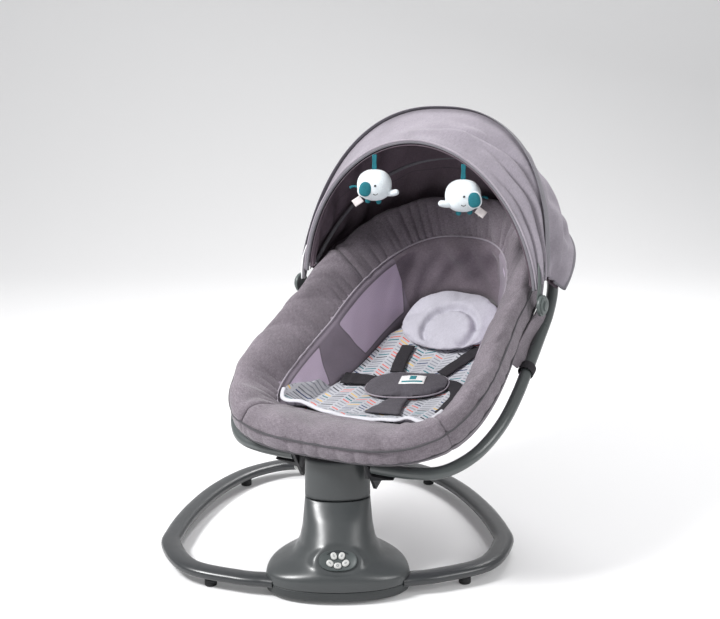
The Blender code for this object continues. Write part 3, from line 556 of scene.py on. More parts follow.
# ------------------------------------------------------------------ drive, saddle and fittings
# Bought-in and turned parts keep their designed solids, since they are hidden or plain
# shapes already; each gets the finish it has.
steel = hard_material("steel", tint(168, 168, 170), 0.3, metallic=1.0, grain=400.0, bump=0.05)
bronze = hard_material("bronze", tint(170, 128, 78), 0.42, metallic=1.0, bump=0.15)
board_green = hard_material("board_green", tint(30, 96, 60), 0.4, coat=0.4)
nylon = hard_material("nylon", tint(214, 212, 200), 0.42)
hoop_paint = hard_material("hoop_paint", tint(74, 79, 79), 0.30, coat=0.35, grain=700.0, bump=0.03)
for material, names in (
        (steel, ("swing_motor", "motor_pinion", "swing_shaft", "seat_frame_tube")),
        (bronze, ("lower_bush", "upper_bush")), (board_green, ("circuit_board",)),
        (nylon, ("swing_gear",)), (pod_plastic, ("bearing_post",)), (rubber, ("floor_pad",)),
        (black_plastic, ("speaker", "battery_door", "power_inlet", "saddle_bracket",
                         "recline_lug_left", "recline_lug_right"))):
    for node_name in names:
        mesh = nodes[node_name].data
        mesh.materials.clear()
        mesh.materials.append(material)

# ------------------------------------------------------------------ seat frame and hoop
# The seat has its own frame: u across, v from foot to head, w up from the rim's plane.
# The hoop is a painted round tube from one recline lug round to the other.
SWING_TURN = math.radians(-32.15)
SEAT_PITCH = math.radians(27.8)
SEAT_ORIGIN = Vector((0.0, -0.059, 0.234))
axis_foot = Vector((0.0, AXIS_Y, 0.0))
seat_matrix = np.array(
    Matrix.Translation(axis_foot) @ Matrix.Rotation(-COLUMN_TILT, 4, "X")
    @ Matrix.Rotation(SWING_TURN, 4, "Z") @ Matrix.Rotation(COLUMN_TILT, 4, "X")
    @ Matrix.Translation(SEAT_ORIGIN - axis_foot) @ Matrix.Rotation(SEAT_PITCH, 4, "X"))


def seat(points):
    """Seat-frame points (u, v, w) in the world."""
    return np.asarray(points, float) @ seat_matrix[:3, :3].T + seat_matrix[:3, 3]


HOOP_ROUTE = ((0.0745, 0.0312, -0.0585), (0.0990, 0.0310, -0.0585), (0.1430, 0.0330, -0.0580),
              (0.1860, 0.0430, -0.0580), (0.2150, 0.0690, -0.0580), (0.2340, 0.1060, -0.0580),
              (0.2450, 0.1620, -0.0580), (0.2450, 0.2250, -0.0580), (0.2390, 0.2920, -0.0580),
              (0.2320, 0.3600, -0.0580), (0.2230, 0.4320, -0.0580), (0.2040, 0.5020, -0.0580),
              (0.1690, 0.5680, -0.0580), (0.1120, 0.6180, -0.0580), (0.0500, 0.6400, -0.0580))
hoop_mirror = [(-u, v, w) for u, v, w in HOOP_ROUTE[::-1]]
hoop_route = smooth_path(list(HOOP_ROUTE) + [(0.0, 0.6440, -0.0580)] + hoop_mirror, 8)
add_tube("support_hoop_paint", seat(sweep(hoop_route, oval(0.020, 0.020, 24), (0, 0, 1))),
         hoop_paint, "seat", "hoop_paint", "support_hoop")
along, one, other = disc_rings(((0.0729, 0.0070), (0.0733, 0.0083), (0.0760, 0.0085),
                                (0.0800, 0.0085), (0.0825, 0.0083), (0.0840, 0.0076),
                                (0.0846, 0.0062), (0.0842, 0.0052), (0.0836, 0.0046),
                                (0.0835, 0.0004)), 40)
knob_rings = np.stack([-along, 0.034 + one, -0.0905 + other], axis=2)
add_tube("recline_knob_cap", seat(knob_rings), button_plastic, "recline_knob", "button_plastic",
         "recline_knob")

# ------------------------------------------------------------------ padded rim
# Four foam-filled pads of heathered grey-lilac cloth wrap the seat's steel tube and meet
# in sewn mitres. The cloth puckers where it is drawn in at the piping on either edge.
RIM_HALF_WIDTH = 0.221
RIM_LENGTH = 0.642
RIM_WAIST_V = 0.334


def even_outline(count):
    """Rim outline at even spacing, with inward normals: two superellipse halves, the foot
    squarer and wider than the head."""
    angle = np.linspace(0.0, 2 * math.pi, 5761)
    c, s = np.cos(angle), np.sin(angle)
    power = np.where(s < 0, 3.208, 2.337)
    length = np.where(s < 0, RIM_WAIST_V, RIM_LENGTH - RIM_WAIST_V)
    u = signed_power(c, 2 / power) * RIM_HALF_WIDTH
    v = RIM_WAIST_V + signed_power(s, 2 / power) * length
    u = u * (1 + 0.2 * clamp((RIM_WAIST_V - v) / RIM_WAIST_V))
    run = np.concatenate([[0.0], np.cumsum(np.hypot(np.diff(u), np.diff(v)))])
    target = np.linspace(0.0, run[-1], count, endpoint=False)
    points = np.stack([np.interp(target, run, u), np.interp(target, run, v)], axis=1)
    tangent = unit(np.roll(points, -3, axis=0) - np.roll(points, 3, axis=0))
    return points, np.stack([-tangent[:, 1], tangent[:, 0]], axis=1), target


STATIONS = 48                      # coarse stations of the rim; seams fall on them
FINE = 16                          # fine steps to a station
rim_points, rim_inward, rim_run = even_outline(STATIONS * FINE)
rim_end = rim_inward[:, 1] ** 2
at_foot = rim_points[:, 1] < RIM_WAIST_V
rim_width = 0.073 + (np.where(at_foot, 0.108, 0.060) - 0.073) * rim_end
rim_toe = np.where(at_foot, rim_end, 0.0)
RIM_SECTION = ((0.0, -0.022, -0.020), (0.03, 0.002, 0.002), (0.12, 0.019, 0.015),
               (0.25, 0.026, 0.022), (0.48, 0.018, 0.013), (0.76, -0.006, -0.012),
               (0.97, -0.034, -0.040), (0.95, -0.045, -0.048), (0.70, -0.046, -0.044),
               (0.40, -0.044, -0.031), (0.12, -0.040, -0.029))


def closed_curve(knots, per_span):
    """Closed Catmull-Rom curve through rows of knots."""
    knots = np.asarray(knots, float)
    t = np.linspace(0.0, 1.0, per_span, endpoint=False)[None, :, None]
    spans = catmull_rom([np.roll(knots, 1 - k, axis=0)[:, None] for k in range(4)], t)
    return spans.reshape(-1, knots.shape[1])


def grid_normals(points, wrap_rows, wrap_cols):
    """Unit normals of a grid from the cross product of its two running directions."""
    def step(values, axis, wrap):
        if wrap:
            return np.roll(values, -1, axis) - np.roll(values, 1, axis)
        return np.gradient(values, axis=axis)
    normal = np.cross(step(points, 0, wrap_rows), step(points, 1, wrap_cols))
    return normal / (np.linalg.norm(normal, axis=2, keepdims=True) + 1e-12)


section = closed_curve(RIM_SECTION, 5)
section_share, section_side, section_toe = section.T
rim_across = rim_width[:, None] * section_share[None]
rim_uv = rim_points[:, None] + rim_inward[:, None] * rim_across[:, :, None]
rim_w = section_side[None] * (1 - rim_toe[:, None]) + section_toe[None] * rim_toe[:, None]
rim_grid = np.concatenate([rim_uv, rim_w[:, :, None]], axis=2)
rim_out = grid_normals(rim_grid, True, True)
if rim_out[:, 15, 2].mean() < 0:
    rim_out = -rim_out
around = np.arange(len(section)) / len(section)
run = rim_run[:, None]
near_outer = bell(around - 0.05, 0.10)[None]
near_inner = bell(around - 0.52, 0.10)[None]
on_top = bell(around - 0.30, 0.22)[None]
wander = run + 0.010 * np.sin(run * 21.0 + 1.3) + 0.006 * np.sin(run * 47.0)
pucker_outer = np.abs(np.sin(wander * math.pi / 0.034 + 0.6 * np.sin(run * 9.0))) ** 0.6
pucker_inner = np.abs(np.sin(wander * math.pi / 0.027 + 1.1 + 3.0 * around[None])) ** 0.6
slack = (np.sin(run * 58.0 + 9.0 * around[None] + 1.2 * np.sin(run * 17.0))
         * np.sin(run * 23.0 - 14.0 * around[None] + 0.7))
crease = np.abs(np.sin(run * 41.0 + 11.0 * around[None]
                       + 1.6 * np.sin(run * 13.0 + 6.0 * around[None]))) ** 0.5
relief = (-0.0024 * near_outer * (1 - pucker_outer) - 0.0032 * near_inner * (1 - pucker_inner)
          + 0.0024 * on_top * slack - 0.0034 * on_top * (1 - crease)
          + 0.0012 * np.sin(run * 12.0 + 0.5) * on_top
          + 0.0022 * on_top * np.sin(run * 37.0 + 9.0 * around[None] + 1.7 * np.sin(run * 11.0)))
gathers = clamp((rim_points[:, 1] - 0.52) / 0.08)[:, None] * bell(around - 0.46, 0.16)[None]
uneven = 0.65 + 0.35 * np.sin(run * 23.0 + 1.0)
relief -= 0.0066 * gathers * uneven * (1 - np.abs(np.sin(
    wander * math.pi / 0.030 + 1.1 * np.sin(run * 13.0) + 1.5 * around[None])) ** 0.8)
station = np.arange(STATIONS * FINE)
start_fade = clamp(np.minimum(station, STATIONS * FINE - station) / 20.0)
relief *= start_fade[:, None]
for seam_station in (5, 19, 31, 41):
    apart = (rim_run - seam_station * rim_run[1] * FINE)
    total = rim_run[1] * len(rim_run)
    apart = (apart + total / 2) % total - total / 2
    top_only = np.clip(np.sin(np.clip(around, 0, 0.62) / 0.62 * math.pi) * 1.5, 0.25, 1)[None]
    relief -= 0.0042 * np.exp(-(np.abs(apart) / 0.0035))[:, None] * top_only
    relief += 0.0012 * bell(np.abs(apart) - 0.011, 0.006)[:, None] * top_only
rim_taut = rim_grid - rim_out * 0.0012
rim_grid = rim_grid + rim_out * relief[:, :, None]

cloth, cloth_in, cloth_out = group_tree(
    "heathered_cloth", [("Vector", "NodeSocketVector", None), ("Thread", "NodeSocketFloat", 900.0)],
    [("Fleck", "NodeSocketFloat"), ("Height", "NodeSocketFloat"), ("Fade", "NodeSocketFloat")])
warp_map = add_node(cloth, "ShaderNodeMapping", {"Vector": cloth_in["Vector"],
                                                 "Scale": (1.0, 7.0, 1.0)})
weft_map = add_node(cloth, "ShaderNodeMapping", {"Vector": cloth_in["Vector"],
                                                 "Scale": (7.0, 1.0, 1.0)})
both_flecks = math_node(cloth, "MULTIPLY", noise(cloth, warp_map.outputs[0], 150.0, 4.0, 0.75),
                        noise(cloth, weft_map.outputs[0], 120.0, 4.0, 0.75))
flecks = map_range(cloth, both_flecks, 0.12, 0.42)
thread_place = add_node(cloth, "ShaderNodeVectorMath", {0: cloth_in["Vector"]}, operation="SCALE")
cloth.links.new(cloth_in["Thread"], thread_place.inputs["Scale"])
thread_axes = add_node(cloth, "ShaderNodeSeparateXYZ", {0: thread_place.outputs[0]})
over_under = math_node(cloth, "MULTIPLY", math_node(cloth, "SINE", thread_axes.outputs[0]),
                       math_node(cloth, "SINE", thread_axes.outputs[1]))
cloth.links.new(math_node(cloth, "MULTIPLY_ADD", over_under, 0.35, flecks), cloth_out["Height"])
cloth.links.new(flecks, cloth_out["Fleck"])
cloth.links.new(noise(cloth, cloth_in["Vector"], 16.0, 3.0), cloth_out["Fade"])


def cloth_material(name, dark, light, sheen=0.25, bump=0.35, thread=3600.0, fade=0.12):
    """Woven cloth on the piece's own UV map: flecked threads, a faint fade and a soft sheen."""
    material, tree, shader = new_material(name)
    weave = place_group(tree, cloth, {"Vector": uv_place(tree), "Thread": thread})
    flecked = mix_colours(tree, weave["Fleck"], dark, light)
    dimmer = map_range(tree, weave["Fade"], 0.3, 0.7, 1.0 - fade, 1.0 + fade)
    feed(tree, shader, {
        "Base Color": brightened(tree, flecked, dimmer),
        "Normal": bump_normal(tree, weave["Height"], bump, 0.0006), "Roughness": 0.88,
        "Sheen Weight": sheen, "Sheen Roughness": 0.45})
    return material


rim_cloth = cloth_material("rim_cloth", tint(86, 79, 86), tint(146, 137, 145), bump=0.5, fade=0.16)
piping_dark = cloth_material("piping_dark", tint(60, 58, 62), tint(80, 77, 82), bump=0.2)
piping_light = cloth_material("piping_light", tint(140, 133, 142), tint(164, 157, 166), bump=0.2)
for node_name, (first, last) in {"rim_pad_right": (41, 53), "rim_pad_head": (5, 19),
                                 "rim_pad_left": (19, 31), "rim_pad_foot": (31, 41)}.items():
    rows = np.arange(first * FINE, last * FINE + 1) % (STATIONS * FINE)
    pad = rim_grid[rows].copy()
    pad[0] += (pad[1] - pad[0]) * 0.15
    pad[-1] += (pad[-2] - pad[-1]) * 0.15
    made = add_tube(node_name + "_cover", seat(pad), rim_cloth, "seat", "rim_fabric", node_name)


def rim_cord(name, share_index, radius, material):
    """Piping sewn along one line of the rim's section, all the way round."""
    lift = PIPING_LIFT + np.maximum(relief[:, share_index, None], 0.0)
    line = rim_taut[:, share_index] + rim_out[:, share_index] * lift
    cord = sweep(line[::2], oval(2 * radius, 2 * radius, 10), (0, 0, 1), loop=True)
    add_loop(name, seat(cord), material, "seat", "rim_fabric")


PIPING_LIFT = 0.0004
rim_cord("rim_outer_piping", 6, 0.0020, piping_dark)
rim_cord("rim_lower_piping", 0, 0.0016, piping_dark)
rim_cord("rim_inner_piping", 30, 0.0016, piping_light)

# ------------------------------------------------------------------ basket walls
# Cloth walls hang from the rim down to the liner. The side walls have lilac mesh windows
# with a plain band between them; the headboard is darker and gathered under its piping.
FLOOR_V = (0.100, 0.142, 0.221, 0.285, 0.380, 0.460, 0.530, 0.570, 0.600)
FLOOR_W = (-0.060, -0.076, -0.113, -0.134, -0.152, -0.153, -0.138, -0.126, -0.115)
WALL_DROP = 0.043                  # from the rim's plane down to the walls' top edge
FLOOR_CENTRE = np.array([0.0, 0.345])
FLOOR_SCALE = 0.86


def floor_w(v):
    """Height of the liner's top along the seat's middle."""
    shifts = (-0.024, -0.012, 0.0, 0.012, 0.024)
    return sum(np.interp(np.asarray(v) + shift, FLOOR_V, FLOOR_W) for shift in shifts) / len(shifts)


wall_top = rim_points + rim_inward * (rim_width + 0.003)[:, None]
wall_foot = FLOOR_CENTRE + (wall_top - FLOOR_CENTRE) * FLOOR_SCALE
wall_foot_w = np.minimum(floor_w(wall_foot[:, 1]) + 0.004, -0.056)


def mesh_cloth(name, colour, mesh_colour, hole):
    """Cloth whose 'window' attribute (metres inside the edge) turns it into open mesh."""
    material = cloth_material(name, tuple(c * 0.82 for c in colour[:3]) + (1.0,), colour, bump=0.25)
    tree = material.node_tree
    shader = tree.nodes["Principled BSDF"]
    plain = shader.inputs["Base Color"].links[0].from_socket
    reach = add_node(tree, "ShaderNodeAttribute", attribute_name="window").outputs["Fac"]
    off_seam = math_node(tree, "ABSOLUTE", math_node(tree, "SUBTRACT", reach, -0.0012))
    stitch = map_range(tree, off_seam, 0.0006, 0.0016, 0.72)
    holes = add_node(tree, "ShaderNodeTexVoronoi", {"Vector": uv_place(tree), "Scale": hole,
                                                    "Randomness": 0.12}, voronoi_dimensions="2D")
    net = map_range(tree, holes.outputs["Distance"], 0.22, 0.42, 0.72)
    inside = map_range(tree, reach, 0.0, 0.0012)
    windowed = mix_colours(tree, inside, plain, brightened(tree, mesh_colour, net))
    feed(tree, shader, {"Base Color": brightened(tree, windowed, stitch)})
    return material


wall_cloth = mesh_cloth("wall_cloth", tint(140, 130, 142), tint(208, 192, 213), 560.0)
board_cloth = cloth_material("board_cloth", tint(96, 87, 95), tint(132, 121, 130))


def wall_grid(rows, shares):
    """Inner face of the basket wall: straight from the rim to the floor's edge, slackened
    by low waves that die away at both edges."""
    mod = rows % (STATIONS * FINE)
    s = np.asarray(shares)[None, :, None]
    plan = wall_top[mod][:, None] * (1 - s) + wall_foot[mod][:, None] * s
    height = (-WALL_DROP * (1 - s[:, :, 0]) + wall_foot_w[mod][:, None] * s[:, :, 0]
              - 0.5 * np.clip(s[:, :, 0] - 1.0, 0.0, 0.04))
    run = (rows * rim_run[1])[:, None]
    lap = (rows * 2 * math.pi / (STATIONS * FINE))[:, None]
    hang = np.sin(clamp(s[:, :, 0]) * math.pi)
    slack = hang * (0.0030 * np.sin(lap * 9 + 5.0 * s[:, :, 0]) * np.sin(lap * 3 + 0.8)
                    + 0.0016 * np.sin(lap * 20 - 9.0 * s[:, :, 0] + 1.1) + 0.0035)
    plan = plan + unit(plan - FLOOR_CENTRE) * slack[:, :, None]
    grid = np.concatenate([plan, height[:, :, None]], axis=2)
    tuck = rim_points[mod] + rim_inward[mod] * (rim_width[mod] * 0.86)[:, None]
    grid[:, 0, :2] = tuck
    grid[:, 0, 2] = -0.030
    return grid, run, s[:, :, 0]


def float_attribute(obj, name, values):
    made = obj.data.attributes.new(name, "FLOAT", "POINT")
    made.data.foreach_set("value", np.asarray(values, np.float32).ravel())


wall_shares = np.concatenate([[0.0, 0.0], np.linspace(0.04, 1.04, 26)])
# Each window: its foot and head edge along v at the rim, and how far each leans by the floor.
WINDOWS = ((0.128, 0.268, 0.014, -0.030), (0.330, 0.530, 0.022, -0.060))
for word, first, last in (("right", 40, 55.5), ("left", 16.5, 32)):
    rows = np.arange(int(first * FINE), int(last * FINE) + 1)
    grid, run, s = wall_grid(rows, wall_shares)
    made = add_piece("side_wall_" + word, seat(grid), wall_cloth, "seat", "lilac_mesh",
                     "side_panel_" + word, thickness=0.0016)
    depth = WALL_DROP + np.abs(wall_foot_w[rows % (STATIONS * FINE)])[:, None] - 2 * WALL_DROP
    along_v = grid[:, :, 1]
    inside_each = [np.minimum.reduce([along_v - (low + lean_low * s), high + lean_high * s
                                      - along_v, (s - 0.05) * depth, (0.93 - s) * depth]) for low,
                   high, lean_low, lean_high in WINDOWS]
    float_attribute(made, "window", np.maximum.reduce(inside_each))

rows = np.arange(int(7.5 * FINE), int(16.5 * FINE) + 1)
grid, run, s = wall_grid(rows, wall_shares)
pleat = clamp(1.25 - s * 1.2) * np.sin(clamp(s * 6) * math.pi / 2)
pleat = pleat * clamp(np.minimum(rows - rows[0], rows[-1] - rows)[:, None] / 12.0)
fold = (0.0085 * np.abs(np.sin(run * 30.0 + 0.9 * np.sin(run * 15.0) + 2.2 * s)) ** 1.6
        + 0.0050 * np.sin(run * 19.0 - 3.0 * s))
grid[:, :, :2] -= unit(grid[:, :, :2] - FLOOR_CENTRE) * (fold * pleat)[:, :, None]
headboard = add_piece("headboard_cloth", seat(grid), board_cloth, "seat", "lilac_mesh",
                      "head_panel", thickness=0.0018)
rows = np.arange(32 * FINE, 40 * FINE + 1)
grid, run, s = wall_grid(rows, wall_shares)
foot_wall = add_piece("foot_wall_cloth", seat(grid), rim_cloth, "seat", "rim_fabric", "foot_panel",
                      thickness=0.0018)

# ------------------------------------------------------------------ liner
# A quilted pad with a herringbone print lies in the basket and laps over the foot wall,
# where its white binding stands up at both corners. A dark cloth sling carries it.
liner_turn = np.arange(0, STATIONS * FINE, 4)
liner_top = wall_top[liner_turn]
liner_foot_side = smooth_step(clamp((0.215 - liner_top[:, 1]) / 0.075))
liner_reach = (0.825 + (0.985 - 0.825) * liner_foot_side
               - 0.14 * clamp((liner_top[:, 1] - 0.44) / 0.08))


def liner_w(u, v):
    """Height of the liner's top: the floor's dish, rising a little to either side."""
    return floor_w(v) + 0.006 * (u / 0.13) ** 2


def liner_height(plan, reach):
    """Top of the liner: the floor's dish, then up the foot wall past the floor's edge."""
    low = liner_w(plan[..., 0], plan[..., 1])
    climb = clamp((reach - FLOOR_SCALE) / (1 - FLOOR_SCALE))
    edge = np.maximum(floor_w(plan[..., 1]) + 0.004, -0.080)
    lapped = np.maximum(low, edge * (1 - climb) - WALL_DROP * climb)
    return np.where(reach > FLOOR_SCALE - 0.02, lapped, low)


liner_shares = np.concatenate([np.linspace(0.02, 0.94, 44), [0.965, 0.985, 0.997, 1.0]])
liner_reaches = liner_reach[None] * liner_shares[:, None]
liner_plan = FLOOR_CENTRE + (liner_top - FLOOR_CENTRE)[None] * liner_reaches[:, :, None]
liner_top_w = liner_height(liner_plan, liner_reaches)
u, v = liner_plan[:, :, 0], liner_plan[:, :, 1]
puff = (0.0016 * np.sin(u * 62.0 + 18.0 * v + 0.4) * np.sin(v * 47.0 - 16.0 * u)
        + 0.0010 * np.sin(u * 130.0 - 60.0 * v + 1.0) + 0.0022)
edge_drop = np.concatenate([np.zeros(44), [0.0004, 0.0014, 0.0030, 0.0050]])[:, None]
curl_rise = clamp(liner_shares[:, None] * 6 - 5) ** 2
curl = 0.016 * liner_foot_side[None] * curl_rise * clamp(np.abs(u) / 0.10) ** 2
top_w = liner_top_w + puff * clamp(liner_shares[:, None] * 0.6 + 0.4) - edge_drop + curl
bottom_w = liner_top_w[::-6] - 0.0085 + curl[::-6] * 0.9
liner_grid = np.concatenate([np.dstack([liner_plan, top_w]),
                             np.dstack([liner_plan[::-6] * 0.995 + FLOOR_CENTRE * 0.005,
                                        bottom_w])])

chevrons, chevron_in, chevron_out = group_tree(
    "herringbone_dashes", [("Vector", "NodeSocketVector", None)],
    [("Ink", "NodeSocketFloat"), ("Pick", "NodeSocketFloat")])
plan_axes = add_node(chevrons, "ShaderNodeSeparateXYZ", {0: chevron_in["Vector"]})
across = math_node(chevrons, "MULTIPLY", plan_axes.outputs[0], 1 / 0.042)
column = math_node(chevrons, "FLOOR", across)
inside_column = math_node(chevrons, "SUBTRACT", across, column)
from_middle = math_node(chevrons, "ABSOLUTE", math_node(chevrons, "SUBTRACT", inside_column, 0.5))
slanted = math_node(chevrons, "MULTIPLY_ADD", from_middle, -2.4,
                    math_node(chevrons, "MULTIPLY", plan_axes.outputs[1], 1 / 0.0084))
dash_row = math_node(chevrons, "FLOOR", slanted)
in_row = math_node(chevrons, "SUBTRACT", slanted, dash_row)
bar = math_node(chevrons, "LESS_THAN", math_node(chevrons, "ABSOLUTE", math_node(
    chevrons, "SUBTRACT", in_row, 0.5)), 0.17)
arm_gap = math_node(chevrons, "MULTIPLY", math_node(chevrons, "GREATER_THAN", from_middle, 0.035),
                    math_node(chevrons, "LESS_THAN", from_middle, 0.455))
arm = math_node(chevrons, "GREATER_THAN", inside_column, 0.5)
cell = add_node(chevrons, "ShaderNodeCombineXYZ",
                {0: math_node(chevrons, "MULTIPLY_ADD", column, 2.0, arm), 1: dash_row, 2: 3.0})
pick = add_node(chevrons, "ShaderNodeTexWhiteNoise", {"Vector": cell.outputs[0]},
                noise_dimensions="3D")
chevrons.links.new(math_node(chevrons, "MULTIPLY", bar, arm_gap), chevron_out["Ink"])
chevrons.links.new(pick.outputs["Value"], chevron_out["Pick"])

liner_cloth = cloth_material("liner_cloth", tint(172, 173, 179), tint(198, 199, 205), sheen=0.0,
                             fade=0.08)
tree = liner_cloth.node_tree
liner_shader = tree.nodes["Principled BSDF"]
plain = liner_shader.inputs["Base Color"].links[0].from_socket
dashes = place_group(tree, chevrons, {"Vector": uv_place(tree)})
inks = add_node(tree, "ShaderNodeValToRGB", {"Fac": dashes["Pick"]})
inks.color_ramp.interpolation = "CONSTANT"
ink_steps = ((0.0, tint(140, 142, 150)), (0.46, tint(104, 108, 116)), (0.60, tint(30, 112, 122)),
             (0.72, tint(44, 62, 100)), (0.78, tint(214, 104, 92)), (0.88, tint(222, 184, 92)),
             (0.93, tint(40, 42, 48)))
for step, (place, colour) in enumerate(ink_steps):
    stop = inks.color_ramp.elements[step] if step < 2 else inks.color_ramp.elements.new(place)
    stop.position = place
    stop.color = colour
feed(tree, liner_shader, {"Base Color": mix_colours(tree, dashes["Ink"], plain, inks.outputs[0])})


def plan_uv(obj, plan):
    """Sets the UV map to the flat plan of each vertex, in metres."""
    flat = np.asarray(plan, np.float32).reshape(-1, 2)
    index = np.empty(len(obj.data.loops), np.int32)
    obj.data.loops.foreach_get("vertex_index", index)
    obj.data.uv_layers["UVMap"].data.foreach_set("uv", flat[index].ravel())


liner = add_tube("liner_quilt", seat(liner_grid), liner_cloth, "seat", "liner_fabric", "liner_pad")
plan_uv(liner, liner_grid[:, :, :2])
binding_cloth = cloth_material("binding_cloth", tint(192, 192, 198), tint(214, 214, 220), sheen=0.0)
hem = np.dstack([liner_plan, top_w])[46]
at_hem = np.where(hem[:, 1] < 0.150)[0]
hem = hem[at_hem[np.argsort(np.arctan2(hem[at_hem, 1] - 0.345, hem[at_hem, 0]))]]
hem[:, 2] += 0.0010
add_tube("liner_binding", seat(sweep(hem, oval(0.0075, 0.0044, 14), (0, 0, 1))), binding_cloth,
         "seat", "liner_fabric")

sling_shares = np.linspace(0.02, 1.0, 22)[:, None]
sling_edge = (wall_foot[liner_turn] - FLOOR_CENTRE)[None]
sling_plan = FLOOR_CENTRE + sling_edge * (1.02 * sling_shares)[:, :, None]
sling_w = (liner_w(sling_plan[:, :, 0], sling_plan[:, :, 1]) - 0.0125
           - 0.0012 * np.sin(sling_plan[:, :, 1] * 60.0 + 2.0))
sling = add_piece("sling_cloth", seat(np.dstack([sling_plan, sling_w])), board_cloth, "seat",
                  "lilac_mesh", "seat_sling", wrap_cols=True, thickness=0.0015)

# ------------------------------------------------------------------ head pillow
# A soft white pillow with a horseshoe seam that makes a hollow for the head. It is blown
# up as cloth from a flat crowned form, and the seam is drawn into it afterwards.
pillow_cloth = cloth_material("pillow_cloth", tint(170, 168, 178), tint(196, 194, 204), sheen=0.1,
                              bump=0.2, fade=0.06)


def swell(obj, voxel, pressure, cap):
    """Inflates a closed pad as cloth for 20 frames; no point moves further than the cap."""
    remesh = obj.modifiers.new("even", "REMESH")
    remesh.mode = "VOXEL"
    remesh.voxel_size = voxel
    graph = bpy.context.evaluated_depsgraph_get()
    even = bpy.data.meshes.new_from_object(obj.evaluated_get(graph))
    obj.modifiers.clear()
    material = obj.data.materials[0]
    obj.data = even
    even.materials.clear()
    even.materials.append(material)
    even.uv_layers.new(name="UVMap")
    even.shade_smooth()
    before = np.empty(len(even.vertices) * 3, np.float32)
    even.vertices.foreach_get("co", before)
    cloth = obj.modifiers.new("swell", "CLOTH")
    cloth.settings.use_pressure = True
    cloth.settings.uniform_pressure_force = pressure
    cloth.settings.effector_weights.gravity = 0.0
    cloth.settings.quality = 6
    cloth.settings.tension_stiffness = 14.0
    cloth.settings.compression_stiffness = 14.0
    cloth.collision_settings.use_collision = False
    cloth.point_cache.frame_start = 1
    cloth.point_cache.frame_end = 20
    for number in range(1, 21):
        bpy.context.scene.frame_set(number)
    graph = bpy.context.evaluated_depsgraph_get()
    after = np.empty_like(before)
    obj.evaluated_get(graph).data.vertices.foreach_get("co", after)
    obj.modifiers.clear()
    bpy.context.scene.frame_set(1)
    before, after = before.reshape(-1, 3), after.reshape(-1, 3)
    move = after - before
    reach = np.linalg.norm(move, axis=1, keepdims=True)
    move *= np.minimum(1.0, cap / np.maximum(reach, 1e-9))
    even.vertices.foreach_set("co", (before + move).ravel())
    even.update()


def lying_pad(name, centre, half, power, thick, lift, turn, relief, material, slot, node,
              rings=30, count=120, voxel=0.004, cap=0.006):
    """Crowned pad lying on the liner, swollen as cloth, then sunk by the relief formula of its
    own (x, y). Its top starts at thick * (1 - share^2)^0.42; its underside follows the liner."""
    angle = full_turn(count)
    x0 = half[0] * signed_power(np.cos(angle), 2 / power)
    y0 = half[1] * signed_power(np.sin(angle), 2 / power)
    share = np.sin(np.linspace(0.02, 1.0, rings) * math.pi / 2)
    top_share = np.concatenate([share, share[::-3]])
    is_top = np.arange(len(top_share)) < rings
    x, y = top_share[:, None] * x0[None], top_share[:, None] * y0[None]
    dome = clamp(1 - top_share[:, None] ** 2) ** 0.42
    high = np.where(is_top[:, None], lift + thick * (0.30 + 0.70 * dome),
                    lift + thick * (0.30 - 0.30 * dome ** 2))

    def on_liner(x, y, high):
        u, v = turned(x, y, turn)
        u, v = centre[0] + u, centre[1] + v
        return np.stack([u, v, liner_w(u, v) + high], axis=-1)

    made = add_tube(name, on_liner(x, y, high), material, None, slot, node)
    swell(made, voxel, 4.0, cap)
    mesh = made.data
    flat = np.empty(len(mesh.vertices) * 3, np.float32)
    mesh.vertices.foreach_get("co", flat)
    flat = flat.reshape(-1, 3).astype(float)
    x, y = turned(flat[:, 0] - centre[0], flat[:, 1] - centre[1], -turn)
    above = flat[:, 2] - liner_w(flat[:, 0], flat[:, 1]) - lift
    on_top = clamp((above / thick - 0.30) / 0.30)
    shape = flat.copy()
    shape[:, 2] += relief(x, y) * on_top
    shape[:, 2] = np.maximum(shape[:, 2], flat[:, 2] - above + 0.0005)
    mesh.vertices.foreach_set("co", seat(shape).astype(np.float32).ravel())
    mesh.update()
    plan_uv(made, np.stack([x, y], axis=1))
    finer = made.modifiers.new("finer", "SUBSURF")
    finer.levels = finer.render_levels = 1
    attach(made, "seat")
    return made, on_liner(x0 * 0.985, y0 * 0.985, np.full(count, lift + thick * 0.30))


def pillow_relief(x, y):
    """A horseshoe groove open towards the foot round a low boss, with soft puckers."""
    ring = np.sqrt(((x - 0.012) / 0.050) ** 2 + ((y + 0.026) / 0.047) ** 2)
    apart = np.abs(ring - 1.0) * 0.048
    open_foot = clamp((y + 0.062) / 0.012)
    angle = np.arctan2(y + 0.026, x - 0.012)
    pucker = np.sin(angle * 13.0 + 0.6) * bell(apart, 0.016) * 0.0009
    return (-0.0120 * bell(apart, 0.0055) * open_foot - 0.0050 * clamp(1.1 - ring) ** 0.5
            + pucker + 0.0012 * np.sin(x * 90 + 20 * y) * np.sin(y * 70.0))


lying_pad("head_pillow_cover", (0.004, 0.457), (0.098, 0.073), 2.35, 0.028, 0.0030,
          math.radians(-3), pillow_relief, pillow_cloth, "pillow_fabric", "head_pillow")

# ------------------------------------------------------------------ harness
# A charcoal waist pad with light piping and a plain sewn-on patch, two shoulder straps, a
# crotch strap, and flat webbing that runs out to the basket on both sides.
harness_cloth = cloth_material("harness_cloth", tint(64, 61, 67), tint(92, 88, 95), sheen=0.1,
                               bump=0.4)
webbing = cloth_material("webbing", tint(30, 28, 32), tint(50, 47, 52), sheen=0.0, bump=0.6,
                         thread=5200.0)


def waist_relief(x, y):
    """Shallow puckers, and a dip in the middle where the crotch strap pulls at the edge."""
    return (0.0012 * np.sin(x * 80.0 + 10 * y) * np.sin(y * 90.0 + 1.0)
            - 0.003 * bell(x, 0.01) * clamp(-y / 0.04))


